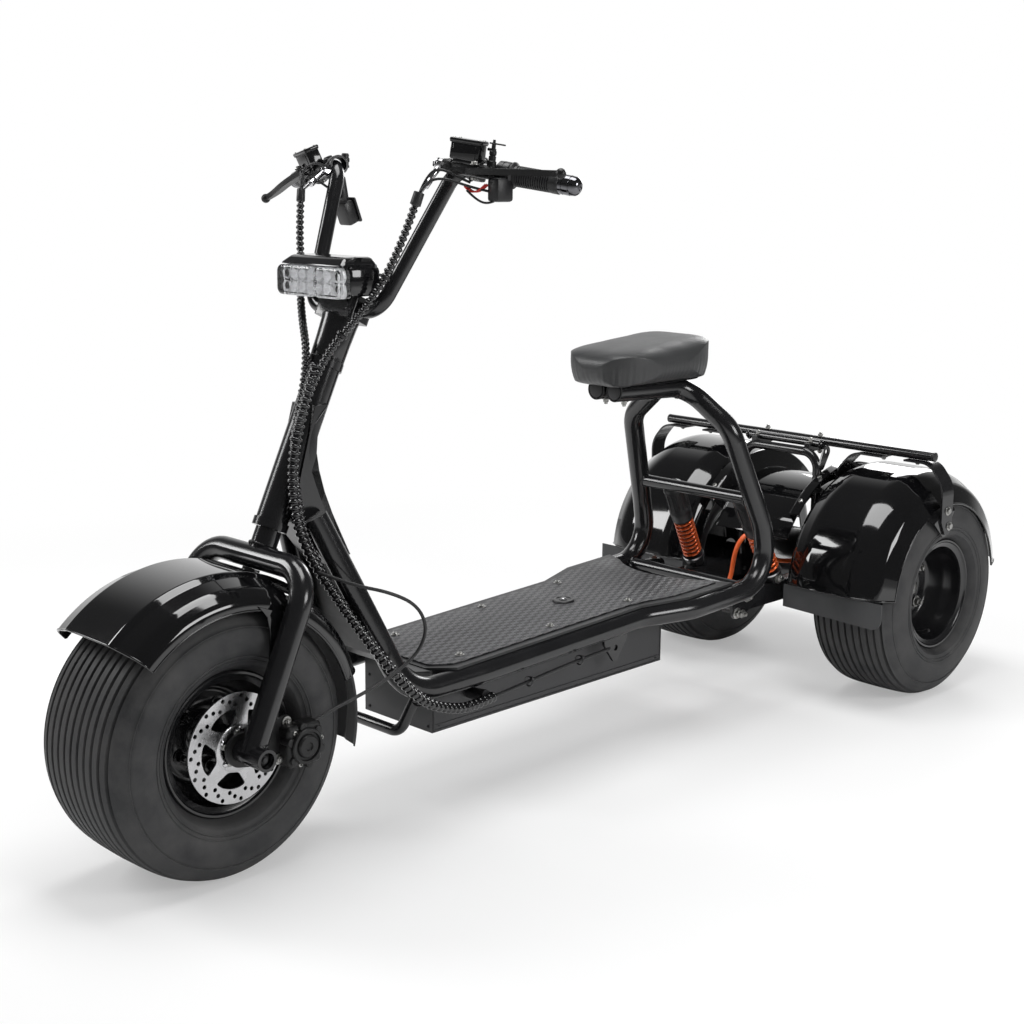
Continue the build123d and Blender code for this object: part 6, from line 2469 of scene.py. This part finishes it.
    def tail_lamp(self) -> None:
        """Ribbed red lens on a black base, with a reflector strip painted near-white as a painted reflection.
        """
        low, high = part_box("tail_lamp")
        centre = (low + high) / 2
        lean = radians(50.0)
        across, outward = LEFT, Vector((-sin(lean), 0, cos(lean)))
        base = Bench.block(
            "lamp_base", centre - outward * 0.0075, (0.136, 0.041, 0.009), (across, outward), bevel=0.003
        )
        self.fit(base, Look.PLASTIC, Body.FRAME)
        parts = [
            Bench.block(
                "lens", centre + outward * 0.0035, (0.129, 0.035, 0.016), (across, outward), bevel=0.0045
            )
        ]
        for step in range(17):
            spot = centre + outward * 0.0117 + across * ((step - 8) * 0.0070)
            parts.append(Bench.block("rib", spot, (0.0032, 0.029, 0.0016), (across, outward), bevel=0.0006))
        lens = Bench.join("tail_lens", parts)
        self.fit(lens, Look.RED_LENS, Body.FRAME, "tail_lamp")
        # Reflector strip in near-white diffuse paint: a painted reflection in place of a mirror finish.
        shine = Bench.block(
            "tail_reflector", centre - outward * 0.0008, (0.118, 0.027, 0.003), (across, outward),
            bevel=0.0008,
        )
        self.fit(shine, Look.REFLECTOR, Body.FRAME)
        screws = []
        for step in (-1, 1):
            seat = centre + across * step * 0.0560 + outward * 0.0112
            screws.append(socket_screw("screw", seat, outward, 0.0062, 0.0016))
        self.group("tail_screws", screws, Look.ZINC, Body.FRAME)

    def panel_trim(self) -> None:
        """Screws along both ledges of the centre panel and rubber rings round the hoop's legs."""
        screws, rings = [], []
        for side in (1, -1):
            for turn in (-50.0, -25.0, 0.0, 24.0, 42.0):
                seat = self.around(0.2579, side * 0.118, turn)
                out = seat - self.around(0.0, side * 0.118, turn)
                screws.append(socket_screw("screw", seat, out, 0.0105, 0.0035))
            leg = self.layout.at(0.090, side * 0.100, 0.4305)
            ring = [
                (-0.004, 0.0101), (-0.004, 0.0130), (-0.001, 0.0142), (0.003, 0.0142), (0.006, 0.0125),
                (0.006, 0.0101),
            ]
            rings.append(Bench.turned("ring", leg, UP, ring, steps=28, closed=True))
        count = 6
        rows = []
        for radius in (0.2145, 0.2172):
            rows.append([(radius, 48.0 + 13.0 * step / count) for step in range(count + 1)])
        line = [self.around(radius, 0.098, turn) for radius, turn in rows[0] + rows[1][::-1]]
        apron = Bench.sheet(line, (0, -0.196, 0))
        Bench.soften(apron, 0.0007, segments=2, sharp_deg=50.0)
        self.fit(Bench.settle(apron, "panel_apron"), Look.GLOSS_BLACK, Body.FRAME)
        self.group("panel_screws", screws, Look.ZINC, Body.FRAME)
        self.group("hoop_grommets", rings, Look.RUBBER, Body.FRAME)

    def motor_trim(self) -> None:
        """Cover bolts of the motor housing and the lead's gland."""
        out = LEFT
        centre = self.layout.rear
        screws = []
        for side in (1, -1):
            for count in range(8):
                turn = 2 * pi * count / 8 + 0.2
                seat = centre + Vector((0.074 * sin(turn), side * 0.070, 0.074 * cos(turn)))
                screws.append(socket_screw("screw", seat, out * side, 0.0095, 0.006))
        self.group("motor_screws", screws, Look.ZINC, Body.FRAME)
        gland = Bench.rod(
            "lead_gland", self.layout.at(0.096, 0.0555, 0.2635), self.layout.at(0.074, 0.0560, 0.2615),
            0.0085, sides=24, bevel=0.0014,
        )
        self.fit(gland, Look.PLASTIC, Body.FRAME)


# --------------------------------------------------------------------------------- conduits and leads
@dataclass
class Conduits(Assembly):
    """Corrugated conduits, thin control cables, brake hose and the loom along the deck."""

    main_route: Sequence[Point] = (
        (1.311, 0.140, 1.082), (1.336, 0.126, 0.998), (1.382, 0.098, 0.906), (1.440, 0.034, 0.812),
        (1.487, 0.032, 0.690), (1.500, 0.042, 0.590), (1.480, 0.050, 0.506), (1.432, 0.098, 0.400),
        (1.384, 0.137, 0.312), (1.310, 0.149, 0.228), (1.236, 0.149, 0.200), (1.188, 0.147, 0.195),
        (1.142, 0.146, 0.200),
    )
    right_route: Sequence[Point] = (
        (1.322, -0.150, 1.082), (1.338, -0.136, 1.018), (1.352, -0.114, 0.962), (1.366, -0.100, 0.916),
        (1.394, -0.060, 0.874), (1.426, -0.008, 0.830), (1.449, 0.012, 0.772), (1.479, 0.018, 0.690),
        (1.484, 0.036, 0.592), (1.468, 0.042, 0.506), (1.434, 0.096, 0.403),
    )
    hose_route: Sequence[Point] = (
        (1.474, 0.076, 0.474), (1.438, 0.122, 0.454), (1.388, 0.152, 0.440), (1.338, 0.166, 0.412),
        (1.316, 0.168, 0.368), (1.336, 0.166, 0.326), (1.388, 0.158, 0.296), (1.450, 0.152, 0.276),
        (1.508, 0.146, 0.262), (1.548, 0.140, 0.246),
    )

    def bend(self, obj: Object, look: Look, still: Point, turning: Point, *stands_for: str) -> None:
        """Finish a cord, write its place into its mesh and hide the solids that it is shown instead of.

        Args:
            obj: The cord.
            look: Its finish.
            still: Station where it is held by the frame; not used.
            turning: Station from which it would turn with the fork; not used.
            stands_for: Plain solids that it is shown instead of.
        """
        self.paint.coat(obj, look)
        self.layout.at(*still)
        self.layout.at(*turning)
        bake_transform(obj)
        if stands_for:
            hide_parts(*stands_for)
        log.info("%s: %d faces, bends at the neck", obj.name, len(obj.data.polygons))

    def corrugated(self, name: str, route: Sequence[Point], diameter: float, pitch: float) -> Object:
        """Conduit of round rings along a route."""
        r = diameter / 2
        ring = [
            (0.0, r * 0.70), (pitch * 0.14, r * 0.72), (pitch * 0.28, r * 0.93), (pitch * 0.42, r * 1.03),
            (pitch * 0.58, r * 1.03), (pitch * 0.72, r * 0.93), (pitch * 0.86, r * 0.72), (pitch, r * 0.70),
        ]
        link = Bench.link(name, ring, 14)
        return Bench.along(name, link, self.layout.points(route), 10)

    def build(self) -> None:
        """Build conduits, collars, thin cables, hose, deck loom and motor lead."""
        low, high = self.main_route[7], self.main_route[3]
        thin = self.corrugated("left_branch", self.main_route[:5], 0.0140, 0.0096)
        self.bend(thin, Look.CONDUIT, low, high)
        shared = self.corrugated("main_corrugated", self.main_route[3:], 0.0190, 0.0112)
        self.bend(shared, Look.CONDUIT, low, high, "main_conduit")
        branch = self.corrugated("right_corrugated", self.right_route, 0.0136, 0.0096)
        self.bend(branch, Look.CONDUIT, low, high, "right_conduit")
        hose = Bench.tube("front_hose", self.layout.points(self.hose_route), 0.006, resolution=10)
        self.bend(hose, Look.RUBBER, self.hose_route[0], self.hose_route[-1], "brake_hose")
        self.collars()
        self.thin_cables()
        self.clips()
        self.deck_loom()
        self.motor_lead()

    def collars(self) -> None:
        """Sleeves where the conduits begin below the bar."""
        pieces = []
        for route, radius in ((self.main_route, 0.0088), (self.right_route, 0.0072)):
            first, second = self.layout.at(*route[0]), self.layout.at(*route[1])
            run = (second - first).normalized()
            pieces.append(
                Bench.rod(
                    "sleeve", first - run * 0.006, first + run * 0.016, radius, radius * 1.04, sides=24,
                    bevel=0.0012,
                )
            )
        self.group("conduit_collars", pieces, Look.RUBBER, Body.STEERING)

    def thin_cables(self) -> None:
        """Thin cables from the conduits' heads to the switches, levers and throttle."""
        at = self.layout.at
        head = at(*self.main_route[0])
        left = [
            (
                head, at(1.300, 0.150, 1.118), at(1.288, 0.172, 1.126), at(1.266, 0.192, 1.110),
                at(1.256, 0.204, 1.104),
            ),
            (
                head, at(1.306, 0.152, 1.104), at(1.292, 0.178, 1.112), at(1.262, 0.214, 1.096),
                at(1.240, 0.234, 1.090),
            ),
        ]
        lead = at(*self.right_route[0])
        right = [
            (
                lead, at(1.310, -0.158, 1.108), at(1.288, -0.160, 1.106), at(1.262, -0.158, 1.094),
                at(1.226, -0.160, 1.072),
            ),
            (
                lead, at(1.312, -0.164, 1.112), at(1.296, -0.184, 1.118), at(1.268, -0.214, 1.100),
                at(1.250, -0.228, 1.094),
            ),
            (
                lead, at(1.316, -0.156, 1.120), at(1.290, -0.150, 1.134), at(1.250, -0.152, 1.122),
                at(1.222, -0.160, 1.110),
            ),
        ]
        cables = [Bench.tube("cable", points, 0.0044, resolution=10) for points in left + right]
        self.group("control_cables", cables, Look.RUBBER, Body.STEERING)
        spiral = []
        top = at(1.236, 0.243, 1.077)
        spiral.append(
            Bench.tube(
                "tail", [top, at(1.250, 0.238, 1.070), at(1.262, 0.222, 1.078), at(1.266, 0.206, 1.092)],
                0.0038, resolution=8,
            )
        )
        self.group("switch_tail", spiral, Look.RUBBER, Body.STEERING)

    def clips(self) -> None:
        """Ties that hold the conduits to the bar's uprights and to the neck."""
        ties = []
        for route, index, radius in (
            (self.main_route, 1, 0.0094), (self.main_route, 2, 0.0094), (self.right_route, 2, 0.0076)
        ):
            here, ahead = self.layout.at(*route[index]), self.layout.at(*route[index + 1])
            run = (ahead - here).normalized()
            spot = here + (ahead - here) * 0.5
            ring = [
                (-0.0022, radius - 0.001), (-0.0022, radius + 0.0006), (0.0022, radius + 0.0006),
                (0.0022, radius - 0.001),
            ]
            ties.append(Bench.turned("tie", spot, run, ring, steps=24, closed=True))
        self.group("conduit_ties", ties, Look.PLASTIC, Body.STEERING)

    def deck_loom(self) -> None:
        """Cable along the deck's left rail in its taped sleeve."""
        route = [
            (1.1417, 0.146, 0.200), (1.096, 0.143, 0.202), (1.040, 0.140, 0.206), (0.976, 0.140, 0.212),
            (0.904, 0.140, 0.218), (0.830, 0.140, 0.222),
        ]
        ring = [(0.0, 0.0031), (0.003, 0.0035), (0.009, 0.0035), (0.012, 0.0031)]
        link = Bench.link("deck_loom", ring, 14)
        loom = Bench.along("deck_loom", link, self.layout.points(route), 10)
        self.fit(loom, Look.RUBBER, Body.FRAME, "deck_cable")

    def motor_lead(self) -> None:
        """Orange lead from the case to the motor, with its bands of tape."""
        route = [
            (0.6075, 0.026, 0.214), (0.548, 0.025, 0.201), (0.486, 0.024, 0.196), (0.424, 0.024, 0.195),
            (0.366, 0.024, 0.197), (0.320, 0.025, 0.214), (0.292, 0.027, 0.252), (0.287, 0.029, 0.300),
            (0.274, 0.033, 0.334), (0.246, 0.039, 0.350), (0.218, 0.045, 0.336), (0.200, 0.050, 0.302),
            (0.170, 0.054, 0.276), (0.124, 0.056, 0.266), (0.076, 0.056, 0.262),
        ]
        lead = Bench.tube("motor_lead", self.layout.points(route), 0.010, resolution=8, sides=4)
        self.fit(lead, Look.ORANGE_LEAD, Body.FRAME, "power_lead")
        bands = []
        for first, second in ((0, 1), (3, 4), (11, 12)):
            here, there = self.layout.at(*route[first]), self.layout.at(*route[second])
            run = (there - here).normalized()
            middle = here + (there - here) * 0.5
            bands.append(
                Bench.rod("band", middle - run * 0.009, middle + run * 0.009, 0.0058, sides=20, bevel=0.0006)
            )
        self.group("lead_tape", bands, Look.PLASTIC, Body.FRAME)


ASSEMBLIES: tuple[type[Assembly], ...] = (
    Wheels, FrontEnd, Headlamp, Cockpit, FrameTrim, Saddle, RearEnd, Conduits
)


# ---------------------------------------------------------------------------------------------- main
@dataclass
class PlainSolids(Assembly):
    """The CAD nodes that show as they are, each with its finish."""

    def dress(self) -> None:
        """Lay a finish on every CAD node."""
        for name, node in frame["nodes"].items():
            self.paint.coat(node, NODE_LOOKS[name])


NODES_BY_LOOK: dict[Look, tuple[str, ...]] = {
    Look.FRAME_BLACK: (
        "head_tube", "left_frame_tube", "right_frame_tube", "cross_tubes", "guard_hoop", "frame_lugs",
        "swing_arm", "rear_axle", "fender_straps", "rear_rack", "fork", "handlebar", "bar_clamp", "front_rim",
        "rear_left_rim", "rear_right_rim",
    ),
    Look.PLATE_BLACK: ("kick_plate", "deck_plate", "seat_base"),
    Look.CASE_GREY: ("battery_case",),
    Look.CELL: ("battery",),
    Look.VINYL: ("seat_cushion",),
    Look.PLASTIC: ("shock_absorbers", "switch_blocks"),
    Look.SPRING: ("shock_springs",),
    Look.GLOSS_BLACK: ("left_fender", "right_fender", "centre_panel", "front_mudguard"),
    Look.FLAP: ("fender_flaps", "front_mudflap"),
    Look.RED_LENS: ("tail_lamp",),
    Look.CONDUIT: ("main_conduit", "right_conduit"),
    Look.RUBBER: ("deck_cable", "grips", "brake_hose"),
    Look.ORANGE_LEAD: ("power_lead",),
    Look.ZINC: ("front_spindle",),
    Look.CAST: ("brake_caliper", "brake_cylinders", "levers"),
    Look.DARK_CHROME: ("bar_ends",),
    Look.GLOSS_PLASTIC: ("headlamp_housing",),
    Look.CLEAR: ("headlamp_lens",),
    Look.TYRE: ("front_tyre", "rear_left_tyre", "rear_right_tyre"),
    Look.STEEL: ("brake_disc",),
}
NODE_LOOKS = {node: look for look, nodes in NODES_BY_LOOK.items() for node in nodes}


def main() -> None:
    """Build the studio and every sub-assembly in order."""
    layout = Layout.from_record(frame["record"])
    paint = Paintbox()
    Studio(layout).build()
    PlainSolids(layout, paint).dress()
    for kind in ASSEMBLIES:
        kind(layout, paint).build()
        log.info("%s done", kind.__name__)
    Bench.clear()


if __name__ == "__main__":
    main()
